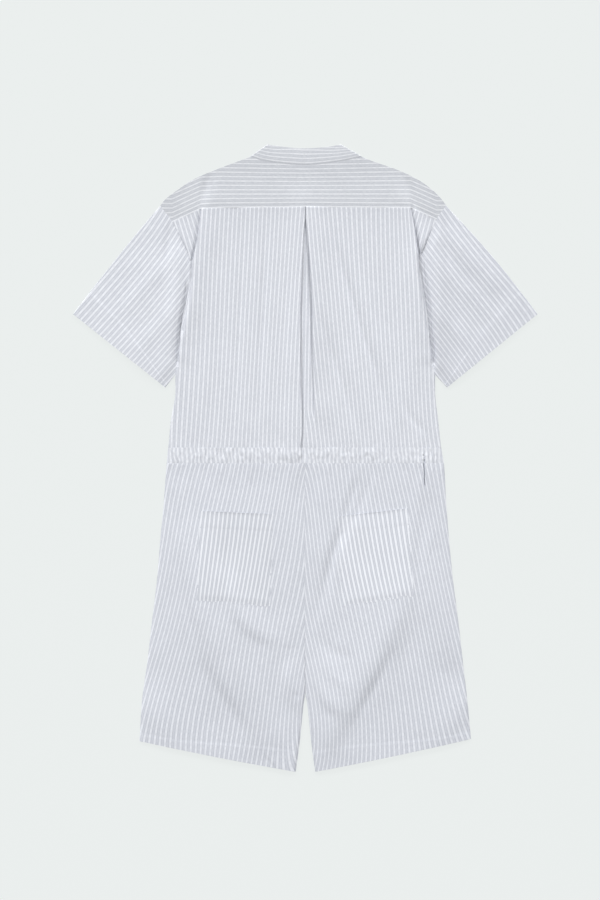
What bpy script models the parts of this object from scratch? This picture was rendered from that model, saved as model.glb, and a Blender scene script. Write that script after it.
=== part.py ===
"""A short-sleeved, short-legged cotton jumpsuit, laid flat with its back up.

X runs across the garment, Y up its length and Z up from the surface that it lies on.
The fronts lie on that surface, the back lies on them, and every piece is a wall of cloth.
All sizes are in metres.
"""

import math
from collections import namedtuple

import bmesh
import bpy
import numpy as np

GARMENT = "jumpsuit"

# Cloth and how its layers lie
WALL = 0.0011
BAND_WALL = 0.0015
SEAM = 0.0004
ARMHOLE_SEAM = 0.0007
UNDERARM_EASE = 0.0012
SLEEVE_BOW = {"left": 0.0012, "right": 0.0030}
HEM_BOW = 0.0014
LAYER_AIR = 0.0008
EDGE_AIR = 0.00035
REST = WALL / 2
LEVEL = REST + WALL + LAYER_AIR
EDGE_LEVEL = REST + WALL + EDGE_AIR
EDGE_ROUND = 0.012
SHARP_ANGLE = math.radians(40)
WELD = 1e-6

# Folds: each is an S of two bends and the run between them
FOLD_RADIUS = 0.0008
FOLD_STEPS = 4
FOLD_REACH = 0.045
FLAT_TURN = math.radians(0.5)
OVER_TURN = 90
BAND_BENDS = 4

# A crease is read at points along its line, and fades towards its ends
CREASE_POINTS = 25
CREASE_END_FADE = 0.06

# Heights on the garment, measured from the middle of the waistband
PLEAT_AXIS = 0.0005
WAIST_TOP = 0.0175
WAIST_BOTTOM = -0.0085
UNDERARM = 0.1380
SIDE_FOLD_CLOSES = 0.1470
SIDE_FOLD_NARROW = 0.1800
SIDE_FOLD_OPENS = 0.3890
YOKE_LINE = 0.4135
SIDE_INSET = 0.0050
EDGE_FALL_END = 0.2840
EDGE_FALL_START = 0.1650
SEAM_FADE = 0.3600
HEM_RIGHT_LIFT = 0.0035
YOKE_NECK = 0.1050
YOKE_CREASE = 0.0012
YOKE_CREASE_WIDTH = 0.0100
YOKE_PLEAT_START = 0.45
BAND_LIFT = 0.0006
POCKET_GAP = 0.00045
PLACKET_HALF = 0.0150
PLACKET_TIP = 0.0018
CROTCH = -0.3900
CROTCH_EASE = 0.015
HEM_INNER = -0.5170

Outline = namedtuple("Outline", "y left right")
Point = namedtuple("Point", "x y")
SideFold = namedtuple("SideFold", "y left right turn depth")
Pleat = namedtuple("Pleat", "y left right turn_left turn_right depth_left depth_right")
Crease = namedtuple("Crease", "start middle end width height")
Pocket = namedtuple("Pocket", "name top_left top_right bottom_right bottom_left")

SHOULDER = (
    Outline(0.4970, -0.0895, 0.0935),
    Outline(0.4905, -0.1070, 0.1095),
    Outline(0.4755, -0.1470, 0.1520),
    Outline(0.4590, -0.1850, 0.1865),
    Outline(0.4425, -0.2095, 0.2095),
    Outline(0.4260, -0.2310, 0.2260),
    Outline(0.4165, -0.2385, 0.2325),
)
ARMHOLE = (
    Outline(0.4165, -0.2385, 0.2325),
    Outline(0.4035, -0.2290, 0.2230),
    Outline(0.3945, -0.2222, 0.2168),
    Outline(0.3900, -0.2190, 0.2145),
    Outline(0.3805, -0.2135, 0.2105),
    Outline(0.3605, -0.2030, 0.2015),
    Outline(0.3420, -0.1945, 0.1932),
    Outline(0.3235, -0.1890, 0.1870),
    Outline(0.3040, -0.1865, 0.1880),
    Outline(0.2560, -0.1920, 0.1945),
    Outline(0.2165, -0.2005, 0.2005),
    Outline(0.1950, -0.2055, 0.2055),
    Outline(0.1800, -0.2080, 0.2080),
    Outline(0.1635, -0.2105, 0.2110),
    Outline(0.1470, -0.2125, 0.2130),
    Outline(0.1380, -0.2140, 0.2145),
)
BODY_SIDE = (
    Outline(0.1380, -0.2140, 0.2145),
    Outline(0.1125, -0.2135, 0.2145),
    Outline(0.0630, -0.2210, 0.2195),
    Outline(0.0175, -0.2255, 0.2245),
    Outline(-0.0085, -0.2280, 0.2290),
    Outline(-0.0690, -0.2325, 0.2325),
    Outline(-0.1350, -0.2385, 0.2375),
    Outline(-0.2010, -0.2440, 0.2440),
    Outline(-0.2670, -0.2520, 0.2525),
    Outline(-0.3330, -0.2595, 0.2600),
    Outline(-0.3990, -0.2685, 0.2675),
    Outline(-0.4665, -0.2730, 0.2740),
)
INNER_LEG = (
    Outline(-0.0085, -0.0005, -0.0005),
    Outline(-0.3600, -0.0002, 0.0002),
    Outline(-0.3900, -0.0003, 0.0008),
    Outline(-0.3990, -0.0015, 0.0028),
    Outline(-0.4155, -0.0035, 0.0050),
    Outline(-0.4650, -0.0085, 0.0100),
    Outline(-0.5170, -0.0155, 0.0170),
)
NECK_SEAM = (
    Point(-0.0895, 0.4970),
    Point(-0.0695, 0.4905),
    Point(-0.0365, 0.4855),
    Point(0.0000, 0.4830),
    Point(0.0365, 0.4862),
    Point(0.0660, 0.4908),
    Point(0.0935, 0.4970),
)
BAND_TOP = (
    Point(-0.0605, 0.5170),
    Point(-0.0330, 0.5130),
    Point(-0.0015, 0.5107),
    Point(0.0280, 0.5122),
    Point(0.0580, 0.5165),
)
FRONT_NECK = (
    Outline(0.4970, -0.0895, 0.0935),
    Outline(0.4720, -0.0810, 0.0840),
    Outline(0.4475, -0.0625, 0.0660),
    Outline(0.4290, -0.0365, 0.0395),
    Outline(0.4215, -0.0150, 0.0150),
    Outline(0.4205, -0.0010, 0.0010),
)
FRONT_BAND_TOP = (
    Outline(0.5170, -0.0605, 0.0580),
    Outline(0.4920, -0.0555, 0.0530),
    Outline(0.4705, -0.0430, 0.0430),
    Outline(0.4550, -0.0230, 0.0230),
    Outline(0.4490, -0.0115, 0.0115),
    Outline(0.4485, -0.0010, 0.0010),
)
CUFF = (
    Outline(0.2375, -0.3825, 0.3835),
    Outline(0.1165, -0.2305, 0.2342),
)
YOKE_SEAM = (
    Point(-0.2190, 0.3900),
    Point(-0.1715, 0.4120),
    Point(-0.1400, 0.4135),
    Point(0.0000, 0.4150),
    Point(0.1740, 0.4135),
    Point(0.2168, 0.3945),
)
SIDE_FOLDS = (
    SideFold(0.4135, -0.1715, 0.1740, 0, 0.0005),
    SideFold(0.3890, -0.1740, 0.1790, 180, 0.0005),
    SideFold(0.3550, -0.1785, 0.1840, 180, 0.0050),
    SideFold(0.3235, -0.1860, 0.1890, 180, 0.0080),
    SideFold(0.3040, -0.1895, 0.1920, 180, 0.0090),
    SideFold(0.2560, -0.1975, 0.1995, 180, 0.0090),
    SideFold(0.2165, -0.2050, 0.2045, 180, 0.0075),
    SideFold(0.1950, -0.2070, 0.2065, 180, 0.0040),
    SideFold(0.1800, -0.2085, 0.2085, 180, 0.0005),
    SideFold(0.1635, -0.2078, 0.2083, 90, 0.0005),
    SideFold(0.1470, -0.2075, 0.2080, 0, 0.0005),
    SideFold(0.1380, -0.2088, 0.2093, 0, 0.0005),
)
PLEATS = (
    Pleat(0.4150, 0.0000, 0.0010, 180, 180, 0.0150, 0.0150),
    Pleat(0.3945, 0.0000, 0.0010, 180, 180, 0.0150, 0.0150),
    Pleat(0.3730, -0.0020, 0.0040, 180, 180, 0.0150, 0.0150),
    Pleat(0.3420, -0.0035, 0.0065, 180, 180, 0.0150, 0.0150),
    Pleat(0.2840, -0.0055, 0.0105, 180, 180, 0.0140, 0.0140),
    Pleat(0.2230, -0.0075, 0.0125, 180, 180, 0.0130, 0.0130),
    Pleat(0.1290, -0.0070, 0.0140, 180, 180, 0.0110, 0.0030),
    Pleat(0.1150, -0.0065, 0.0145, 180, 180, 0.0100, 0.0005),
    Pleat(0.0845, -0.0055, 0.0155, 180, 0, 0.0090, 0.0005),
    Pleat(0.0450, -0.0050, 0.0155, 180, 0, 0.0080, 0.0005),
    Pleat(0.0175, -0.0080, 0.0150, 180, 0, 0.0070, 0.0005),
)
BODICE_CREASES = (
    Crease(Point(0.078, 0.310), Point(0.110, 0.200), Point(0.132, 0.096), 0.018, 0.0008),
    Crease(Point(-0.120, 0.290), Point(-0.135, 0.180), Point(-0.150, 0.070), 0.022, 0.0006),
)
LEG_CREASES = (
    Crease(Point(-0.215, -0.225), Point(-0.185, -0.330), Point(-0.085, -0.440), 0.020, 0.0016),
    Crease(Point(-0.130, -0.250), Point(-0.100, -0.300), Point(-0.030, -0.305), 0.017, 0.0012),
    Crease(Point(0.180, -0.235), Point(0.150, -0.330), Point(0.070, -0.440), 0.020, 0.0016),
    Crease(Point(0.120, -0.290), Point(0.085, -0.330), Point(0.030, -0.375), 0.017, 0.0011),
)
POCKETS = (
    Pocket(
        "pocket_left",
        Point(-0.1725, -0.0870),
        Point(-0.0520, -0.0920),
        Point(-0.0575, -0.2450),
        Point(-0.1780, -0.2340),
    ),
    Pocket(
        "pocket_right",
        Point(0.0530, -0.0960),
        Point(0.1695, -0.0825),
        Point(0.1790, -0.2275),
        Point(0.0610, -0.2440),
    ),
)

# Gathers of the waist casing
GATHERS = 17
GATHER_SWAY = 0.35
SWAY_TURNS = 3.3
GATHER_HEIGHT = 0.00045
GATHER_LEAST = 0.6
STRENGTH_TURNS = 2.1
STRENGTH_START = 1.0
CASING_ROWS = ((0.0, 0.6), (0.35, 1.0), (0.65, 1.0), (1.0, 0.6))
WAIST_PLEAT = 0.0022
WAIST_PLEAT_X = -0.0050
WAIST_PLEAT_SLOPE = 0.0300
WAIST_PLEAT_STEP = 0.0080

# The waist's pleat dies out in the leg below it
SEAT_PLEAT = 0.8 * WAIST_PLEAT
SEAT_PLEAT_WIDTH = 0.020
SEAT_PLEAT_LENGTH = 0.050

# Broad fullness of the legs and sleeves over the layer below
LEG_FULLNESS = 0.0008
LEG_FULLNESS_START = 0.060
LEG_WIDTH = 0.250
HEM_BOW_START = 0.7
SLEEVE_FULLNESS = 0.0008
SLEEVE_FULLNESS_SHARE = 0.3

# Where the grids of cloth have their lines
MIDDLE_SHARES = (0.08, 0.20, 0.42, 0.66, 0.84, 0.93)
SLEEVE_SHARES = (0.0, 0.12, 0.35, 0.60, 0.85, 1.0)
TAPER_SHARE = 0.685
CROTCH_SHARE = (WAIST_BOTTOM - SEAM - CROTCH) / (WAIST_BOTTOM - SEAM - HEM_INNER)
LEG_SHARES = (
    *(0.0, 0.04, 0.10, 0.16, 0.22, 0.29, 0.36, 0.43, 0.50, 0.56, 0.62),
    *(TAPER_SHARE, CROTCH_SHARE, 0.78, 0.83, 0.90, 1.0),
)
YOKE_SHARES = (0.0, 0.06, 0.22, 0.45, 0.70, 0.88, 1.0)
BAND_SHARES = (0.0, 0.5, 1.0)
LEG_COLUMNS = 10
FRONT_STEPS = 5
SIDE_STEPS = 3
NECK_STEPS = 6
NECK_SEAM_STEPS = 8
SHOULDER_STEPS = 6
YOKE_CORNER_STEPS = 2
PLACKET_STEPS = 10
CASING_FRONT_STEPS = 6
POCKET_STEPS = 6

SIDES = (("left", -1), ("right", 1))
CLOTH_COLOUR = (0.715, 0.737, 0.789, 1.0)
CLOTH_ROUGHNESS = 0.85


def smooth(value):
    """Ease from 0 to 1 as a value passes from 0 to 1."""
    value = min(max(value, 0.0), 1.0)
    return value * value * (3 - 2 * value)


def mix(first, second, share):
    """Blend two numbers."""
    return first + (second - first) * share


def eased_slopes(places, values):
    """Slopes of a smooth curve through points, which never overshoots them."""
    steps = np.diff(places)
    rises = np.diff(values) / steps
    slopes = np.zeros(len(places))
    slopes[0], slopes[-1] = rises[0], rises[-1]
    for i in range(1, len(places) - 1):
        if rises[i - 1] * rises[i] > 0:
            before = 2 * steps[i] + steps[i - 1]
            after = steps[i] + 2 * steps[i - 1]
            slopes[i] = (before + after) / (before / rises[i - 1] + after / rises[i])
    return slopes


def eased(places, values, place):
    """Height at one place of the smooth curve through rising places and their values."""
    slopes = eased_slopes(places, values)
    i = int(np.clip(np.searchsorted(places, place) - 1, 0, len(places) - 2))
    step = places[i + 1] - places[i]
    t = min(max((place - places[i]) / step, 0.0), 1.0)
    return (
        (1 + 2 * t) * (1 - t) ** 2 * values[i]
        + t * (1 - t) ** 2 * step * slopes[i]
        + t * t * (3 - 2 * t) * values[i + 1]
        - t * t * (1 - t) * step * slopes[i + 1]
    )


def read(table, column, y):
    """Read a column of a table whose rows go down the garment, at a given height."""
    places = np.array([row.y for row in reversed(table)])
    values = np.array([getattr(row, column) for row in reversed(table)], dtype=float)
    return eased(places, values, y)


def along(points, share):
    """Point at a share of the length of the smooth curve through some points."""
    points = np.array(points, dtype=float)
    lengths = np.concatenate([[0.0], np.cumsum(np.linalg.norm(np.diff(points, axis=0), axis=1))])
    place = share * lengths[-1]
    return Point(*(eased(lengths, points[:, axis], place) for axis in range(2)))


def side_points(table, side):
    """Points down one side of an outline table."""
    return [(getattr(row, side), row.y) for row in table]


def even(start, stop, steps):
    """Evenly spaced numbers, both ends included."""
    return [mix(start, stop, i / steps) for i in range(steps + 1)]


def crease_rise(creases, x, y):
    """Height that soft creases add at a point of the cloth."""
    rise = 0.0
    spot = np.array((x, y))
    for crease in creases:
        start, middle, end = (np.array(point) for point in (crease.start, crease.middle, crease.end))
        shares = np.linspace(0, 1, CREASE_POINTS)[:, None]
        line = start * (1 - shares) ** 2 + 2 * middle * shares * (1 - shares) + end * shares**2
        distances = np.linalg.norm(line - spot, axis=1)
        nearest = int(np.argmin(distances))
        fade = mix(CREASE_END_FADE, 1 - CREASE_END_FADE, nearest / (CREASE_POINTS - 1))
        ridge = math.exp(-((distances[nearest] / crease.width) ** 2))
        rise += crease.height * math.sin(math.pi * fade) * ridge
    return rise


def rounding(distance):
    """Share of its full height that cloth has reached at a distance from a turned edge."""
    return smooth(distance / EDGE_ROUND)


# --- making solids ---------------------------------------------------------------------------


def clear_scene():
    """Remove what the scene holds."""
    for item in list(bpy.data.objects):
        bpy.data.objects.remove(item, do_unlink=True)


def cloth_material(name):
    """Plain cotton in the mean colour of the stripes."""
    material = bpy.data.materials.new(f"{name}_cotton")
    material.use_nodes = True
    shader = material.node_tree.nodes["Principled BSDF"]
    shader.inputs["Base Color"].default_value = CLOTH_COLOUR
    shader.inputs["Roughness"].default_value = CLOTH_ROUGHNESS
    shader.inputs["Metallic"].default_value = 0.0
    return material


def sew(name, rows, collection, wall=WALL, ring=False):
    """Make one piece of cloth: a grid shaped by rows of points, given its wall.

    A ring's rows close on themselves, so that the piece is a tube.
    """
    points = np.array(rows, dtype=float)
    if ring:
        points = np.concatenate([points, points[:, :1]], axis=1)
    row_count, column_count = points.shape[:2]
    grid = bmesh.new()
    bmesh.ops.create_grid(grid, x_segments=column_count - 1, y_segments=row_count - 1, size=1.0)
    grid.verts.ensure_lookup_table()
    for vertex, point in zip(grid.verts, points.reshape(-1, 3)):
        vertex.co = point
    if ring:
        bmesh.ops.remove_doubles(grid, verts=grid.verts, dist=WELD)
    bmesh.ops.recalc_face_normals(grid, faces=grid.faces)
    mesh = bpy.data.meshes.new(name)
    grid.to_mesh(mesh)
    grid.free()
    piece = bpy.data.objects.new(name, mesh)
    collection.objects.link(piece)
    mesh.materials.append(cloth_material(name))
    thicken = piece.modifiers.new("wall", "SOLIDIFY")
    thicken.thickness = wall
    thicken.offset = 0.0
    thicken.use_even_offset = True
    mesh.shade_smooth()
    mesh.set_sharp_from_angle(angle=SHARP_ANGLE)
    return piece


def trimmed(points, before, after):
    """Shorten a row of plan points at its two ends."""
    points = [np.array(point, dtype=float) for point in points]
    for end, inner, cut in ((0, 1, before), (-1, -2, after)):
        inward = points[inner] - points[end]
        points[end] = points[end] + inward / np.linalg.norm(inward) * cut
    return points


def span(left, right, shares, before=0.0, after=0.0):
    """Plan points between two edge points, kept clear of the seams at both ends."""
    left, right = np.array(left), np.array(right)
    return trimmed([left + (right - left) * share for share in shares], before, after)


# --- bodice ----------------------------------------------------------------------------------


def s_fold(turn, depth):
    """Section of a fold, from its upper run to its lower one.

    Each point is how far it lies past the fold's edge and how far it has dropped.
    The two bends keep their length of cloth as the fold opens.
    """
    turn = max(turn, FLAT_TURN)
    radius = math.pi * FOLD_RADIUS / turn
    start = -radius * math.sin(min(turn, math.pi / 2))
    upper = [
        (start + radius * math.sin(angle), radius * (1 - math.cos(angle)))
        for angle in even(0.0, turn, FOLD_STEPS)
    ]
    past = upper[-1][0] + depth * math.cos(turn)
    drop = upper[-1][1] + depth * math.sin(turn)
    lower = [
        (
            past + radius * (math.sin(turn) - math.sin(angle)),
            drop + radius * (math.cos(angle) - math.cos(turn)),
        )
        for angle in even(turn, 0.0, FOLD_STEPS)
    ]
    return upper + lower


def bodice_heights():
    """Heights of the bodice's sections, closest where its folds open and close."""
    opening = even(YOKE_LINE - SEAM, SIDE_FOLD_OPENS, 4)
    armhole = even(SIDE_FOLD_OPENS, SIDE_FOLD_NARROW, 9)
    closing = even(SIDE_FOLD_NARROW, SIDE_FOLD_CLOSES, 4)
    side = even(UNDERARM, WAIST_TOP + SEAM, 6)
    return opening + armhole[1:] + closing[1:] + side


def section_height(x, y):
    """Height of a section at a place across it: at the top it follows the yoke's seam."""
    follow = smooth((y - SEAM_FADE) / (YOKE_LINE - SEAM_FADE))
    return y + (seam_height(x) - YOKE_LINE) * follow


def edge_height(side, y):
    """Height at the armhole of the section that lies at y beside the pleat."""
    fall = YOKE_LINE - (YOKE_SEAM[0].y if side == "left" else YOKE_SEAM[-1].y)
    return y - fall * smooth((y - EDGE_FALL_END) / (YOKE_LINE - EDGE_FALL_END))


def seam_height(x):
    """Height of the yoke seam."""
    return float(np.interp(x, [row.x for row in YOKE_SEAM], [row.y for row in YOKE_SEAM]))


def bodice_half(side, sign, y):
    """Half a section of the back bodice: points from the pleat's axis to the side."""
    outer_y = edge_height(side, y)
    if outer_y >= UNDERARM:
        edge = sign * (read(ARMHOLE, side, outer_y) - PLEAT_AXIS)
        fold_edge = sign * (read(SIDE_FOLDS, side, y) - PLEAT_AXIS)
    else:
        edge = sign * (read(BODY_SIDE, side, outer_y) - PLEAT_AXIS)
        fold_edge = edge - SIDE_INSET
    fold_y = max(y, UNDERARM)
    side_fold = s_fold(
        math.radians(read(SIDE_FOLDS, "turn", fold_y)), read(SIDE_FOLDS, "depth", fold_y)
    )
    pleat_edge = sign * (read(PLEATS, side, y) - PLEAT_AXIS) + WALL / 2
    pleat = s_fold(
        math.radians(read(PLEATS, f"turn_{side}", y)), read(PLEATS, f"depth_{side}", y)
    )
    fold_edge -= WALL / 2 * smooth(read(SIDE_FOLDS, "turn", fold_y) / OVER_TURN)
    pleat_rise, side_rise = pleat[-1][1], side_fold[-1][1]

    def middle(place):
        return section_height(PLEAT_AXIS + sign * place, y)

    section = [(0.0, middle(0.0), LEVEL)]
    for past, drop in reversed(pleat):
        place = pleat_edge - past
        section.append((place, middle(place), LEVEL + pleat_rise - drop))
    inner = pleat_edge - pleat[0][0]
    outer = fold_edge + side_fold[0][0]
    for share in MIDDLE_SHARES:
        place = mix(inner, outer, share)
        rise = pleat_rise * (1 - smooth((place - inner) / FOLD_REACH))
        rise += side_rise * (1 - smooth((outer - place) / FOLD_REACH))
        rise += crease_rise(BODICE_CREASES, PLEAT_AXIS + sign * place, y)
        section.append((place, middle(place), LEVEL + rise))
    drop_out = (LEVEL - EDGE_LEVEL) * smooth((EDGE_FALL_START - y) / (EDGE_FALL_START - UNDERARM))
    side_run = [(fold_edge + past, side_rise - drop) for past, drop in side_fold]
    last = side_run[-1][0]
    side_run += [(mix(last, edge, 0.5), 0.0), (edge - ARMHOLE_SEAM / 2, 0.0)]
    for place, rise in side_run:
        out = (place - outer) / (edge - outer)
        run = max(place - fold_edge, 0.0) / max(edge - fold_edge, WALL)
        height = mix(middle(min(place, fold_edge)), outer_y, min(run, 1.0))
        section.append((place, height, LEVEL + rise - drop_out * smooth(out)))
    return section


def make_bodice_back(collection):
    """Back bodice: one piece with an inverted pleat and a fold beside each armhole."""
    rows = []
    for y in bodice_heights():
        halves = [
            [
                (PLEAT_AXIS + sign * place, height, z)
                for place, height, z in bodice_half(side, sign, y)
            ]
            for side, sign in SIDES
        ]
        rows.append(halves[0][::-1] + halves[1][1:])
    return sew("bodice_back", rows, collection)


def armhole_points(side):
    """Points of the armhole, from the shoulder to the underarm, where the pieces' rows meet it."""
    top = ARMHOLE[0].y
    seam = edge_height(side, bodice_heights()[0])
    heights = [top, mix(top, seam, 1 / 3), mix(top, seam, 2 / 3)]
    heights += [edge_height(side, y) for y in bodice_heights() if y > UNDERARM] + [UNDERARM]
    return [Point(read(ARMHOLE, side, y), y) for y in heights]


def front_edges(side, sign):
    """Points down the inner edge of a front, and down its outer edge, station by station."""
    neck = side_points(FRONT_NECK[:-1], side)
    armhole = armhole_points(side)
    underarm = len(armhole) - 1
    inner = [along(neck, i / NECK_STEPS) for i in range(NECK_STEPS + 1)]
    bottom = inner[-1].y
    inner += [
        Point(sign * PLACKET_HALF, mix(bottom, UNDERARM, i / (underarm - NECK_STEPS)))
        for i in range(1, underarm - NECK_STEPS + 1)
    ]
    outer = armhole
    for y in even(UNDERARM, WAIST_TOP + SEAM, SIDE_STEPS)[1:]:
        inner.append(Point(sign * PLACKET_HALF, y))
        outer.append(Point(read(BODY_SIDE, side, y), y))
    return inner, outer


def make_bodice_front(side, sign, collection):
    """One front: flat on the surface from the shoulder to the waist."""
    inner, outer = front_edges(side, sign)
    shares = even(0.0, 1.0, FRONT_STEPS)
    shoulder = [along(side_points(SHOULDER, side), share) for share in shares]
    rows = []
    for i, (start, end) in enumerate(zip(inner, outer)):
        row = span(start, end, shares, SEAM, ARMHOLE_SEAM / 2)
        fade = 1 - smooth(i / NECK_STEPS)
        if fade > 0:
            straight = span(inner[0], outer[0], shares)
            lift = [np.array(point) - flat for point, flat in zip(shoulder, straight)]
            row = [point + rise * fade for point, rise in zip(row, lift)]
        rows.append([(x, y, REST) for x, y in row])
    return sew(f"bodice_front_{side}", rows, collection)


def make_placket(collection):
    """Fly placket down the front, from the neck to the crotch, flat on the surface."""
    top = FRONT_NECK[-1].y - 2 * SEAM
    taper = leg_inner_height(TAPER_SHARE)
    tip = mix(CROTCH, taper, PLACKET_TIP / PLACKET_HALF)
    heights = even(top, taper, PLACKET_STEPS) + [tip]
    rows = []
    for y in heights:
        half = placket_half(y) - SEAM
        rows.append([(share * half, y, REST) for share in (-1.0, 0.0, 1.0)])
    return sew("front_placket", rows, collection)


def placket_half(y):
    """Half width of the placket at a height."""
    taper = (y - CROTCH) / (leg_inner_height(TAPER_SHARE) - CROTCH)
    return PLACKET_HALF * min(max(taper, 0.0), 1.0)


# --- yoke and collar -------------------------------------------------------------------------


def shoulder_foot(side, sign, step):
    """Place on the yoke's seam below a step of the shoulder, from the armhole inwards."""
    end = YOKE_SEAM[0].x if side == "left" else YOKE_SEAM[-1].x
    fold = getattr(SIDE_FOLDS[0], side)
    if step < YOKE_CORNER_STEPS:
        return mix(end, fold, step / YOKE_CORNER_STEPS)
    inner = (step - YOKE_CORNER_STEPS) / (SHOULDER_STEPS - YOKE_CORNER_STEPS)
    return mix(fold, sign * YOKE_NECK, inner)


def yoke_edges():
    """Points along the top of the yoke and along its seam, with how much the top turns over."""
    top, bottom, turns = [], [], []
    for i in range(SHOULDER_STEPS):
        top.append(along(side_points(SHOULDER, "left"), 1 - i / SHOULDER_STEPS))
        turns.append(1.0)
        bottom.append(shoulder_foot("left", -1, i))
    for i in range(NECK_SEAM_STEPS + 1):
        share = i / NECK_SEAM_STEPS
        top.append(along(NECK_SEAM, share))
        turns.append(0.0)
        bottom.append(mix(-YOKE_NECK, YOKE_NECK, share))
    for i in range(1, SHOULDER_STEPS + 1):
        top.append(along(side_points(SHOULDER, "right"), i / SHOULDER_STEPS))
        turns.append(1.0)
        bottom.append(shoulder_foot("right", 1, SHOULDER_STEPS - i))
    return top, [Point(x, seam_height(x)) for x in bottom], turns


def yoke_rise(x, share):
    """Height of the yoke over the fronts, from its top edge (0) to its seam (1)."""
    pleat = s_fold(math.pi, 0.0)[-1][1]
    lower = smooth((share - YOKE_PLEAT_START) / (1 - YOKE_PLEAT_START))
    rise = pleat * (1 - smooth(abs(x - PLEAT_AXIS) / FOLD_REACH)) * lower
    for edge in (SIDE_FOLDS[0].left, SIDE_FOLDS[0].right):
        ridge = math.exp(-(((x - edge) / YOKE_CREASE_WIDTH) ** 2))
        rise += YOKE_CREASE * ridge * math.sin(math.pi * share)
    return rise


def make_yoke(collection):
    """Back yoke, turned over at the shoulders."""
    top, bottom, turns = yoke_edges()
    columns = []
    for start, end, turn in zip(top, bottom, turns):
        points = span(start, end, YOKE_SHARES, SEAM, 0.0)
        length = math.dist(start, end)
        column = []
        for share, (x, y) in zip(YOKE_SHARES, points):
            drop = turn * (LEVEL - EDGE_LEVEL) * (1 - rounding(share * length))
            column.append((x, y, LEVEL + yoke_rise(x, share) - drop))
        columns.append(column)
    for column, cut in ((columns[0], ARMHOLE_SEAM / 2), (columns[-1], -ARMHOLE_SEAM / 2)):
        column[:] = [(x + cut, y, z) for x, y, z in column]
    return sew("yoke_back", list(zip(*columns)), collection)


def make_collar(collection):
    """Collar band: round the neck in one strip, folded flat at the two neck points."""
    front_level = BAND_WALL / 2
    bend = (LEVEL + BAND_LIFT - front_level) / 2
    rows = []

    def strip(seam, edge, level):
        points = span(seam, edge, BAND_SHARES, SEAM, 0.0)
        rows.append([(x, y, level) for x, y in points])

    def turn(seam, edge, sign, angles):
        points = span(seam, edge, BAND_SHARES, SEAM, 0.0)
        line = points[-1] - points[0]
        out = np.array((sign * line[1], -sign * line[0])) / np.linalg.norm(line)
        for angle in angles:
            level = front_level + bend * (1 - math.cos(angle))
            rows.append([(*(point + out * bend * math.sin(angle)), level) for point in points])

    fronts = {}
    for side, _ in SIDES:
        seam, edge = side_points(FRONT_NECK, side), side_points(FRONT_BAND_TOP, side)
        fronts[side] = [
            (along(seam[:-1], share), along(edge[:-1], share)) for share in even(0.0, 1.0, NECK_STEPS)
        ]
        fronts[side].append((seam[-1], edge[-1]))
    bends = even(0.0, math.pi, BAND_BENDS)[1:-1]
    for seam, edge in reversed(fronts["left"]):
        strip(seam, edge, front_level)
    turn(*fronts["left"][0], -1, bends)
    for share in even(0.0, 1.0, NECK_SEAM_STEPS):
        strip(along(NECK_SEAM, share), along(BAND_TOP, share), LEVEL + BAND_LIFT)
    turn(*fronts["right"][0], 1, reversed(bends))
    for seam, edge in fronts["right"]:
        strip(seam, edge, front_level)
    return sew("collar_band", rows, collection, wall=BAND_WALL)


# --- sleeves ---------------------------------------------------------------------------------


def make_sleeve(side, sign, collection):
    """Short sleeve: one tube pressed flat, open at the armhole and at the cuff."""
    armhole = armhole_points(side)
    lengths = np.cumsum([0.0] + [math.dist(a, b) for a, b in zip(armhole, armhole[1:])])
    stations = lengths / lengths[-1]
    cuff = side_points(CUFF, side)
    bend = (LEVEL - REST) / 2
    inset = bend + WALL / 2
    rows = []
    for share in SLEEVE_SHARES:
        bow = np.array((sign, 1.0)) * SLEEVE_BOW[side] * math.sin(math.pi * share)
        plan = [
            mix(np.array(near), np.array(along(cuff, station)), share) + bow * (1 - station) ** 2
            for near, station in zip(armhole, stations)
        ]
        outline = trimmed(plan, inset, inset + UNDERARM_EASE)
        outward = [outline[0] - outline[1], outline[-1] - outline[-2]]
        outward = [step / np.linalg.norm(step) for step in outward]
        full = SLEEVE_FULLNESS * smooth(share / SLEEVE_FULLNESS_SHARE)
        top, bottom = [], []
        for station, point in zip(stations, outline):
            top.append((*point, LEVEL + full * math.sin(math.pi * station)))
            bottom.append((*point, REST))
        turns = []
        for point, step in ((outline[-1], outward[1]), (outline[0], outward[0])):
            turns.append(
                [
                    (*(point + step * bend * math.sin(angle)), REST + bend * (1 + math.cos(angle)))
                    for angle in even(0.0, math.pi, BAND_BENDS)[1:-1]
                ]
            )
        rows.append(top + turns[0] + bottom[::-1] + turns[1][::-1])
    steps = np.array(rows[1]) - np.array(rows[0])
    rows[0] = np.array(rows[0]) + steps / np.linalg.norm(steps, axis=1)[:, None] * ARMHOLE_SEAM / 2
    return sew(f"sleeve_{side}", rows, collection, ring=True)


# --- waistband -------------------------------------------------------------------------------


def waist_rise(x):
    """Gathers of the waist casing and the pleat that runs into it."""
    turn = x / (read(BODY_SIDE, "right", WAIST_TOP) - read(BODY_SIDE, "left", WAIST_TOP))
    sway = GATHER_SWAY * math.sin(2 * math.pi * SWAY_TURNS * turn)
    wave = math.sin(2 * math.pi * (GATHERS * turn + sway))
    vary = (1 - GATHER_LEAST) * math.sin(2 * math.pi * STRENGTH_TURNS * turn + STRENGTH_START)
    rise = GATHER_HEIGHT * wave * (GATHER_LEAST + vary)
    if x < WAIST_PLEAT_X:
        rise += WAIST_PLEAT * (1 - smooth((WAIST_PLEAT_X - x) / WAIST_PLEAT_SLOPE))
    else:
        rise += WAIST_PLEAT * (1 - smooth((x - WAIST_PLEAT_X) / WAIST_PLEAT_STEP))
    return rise


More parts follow.
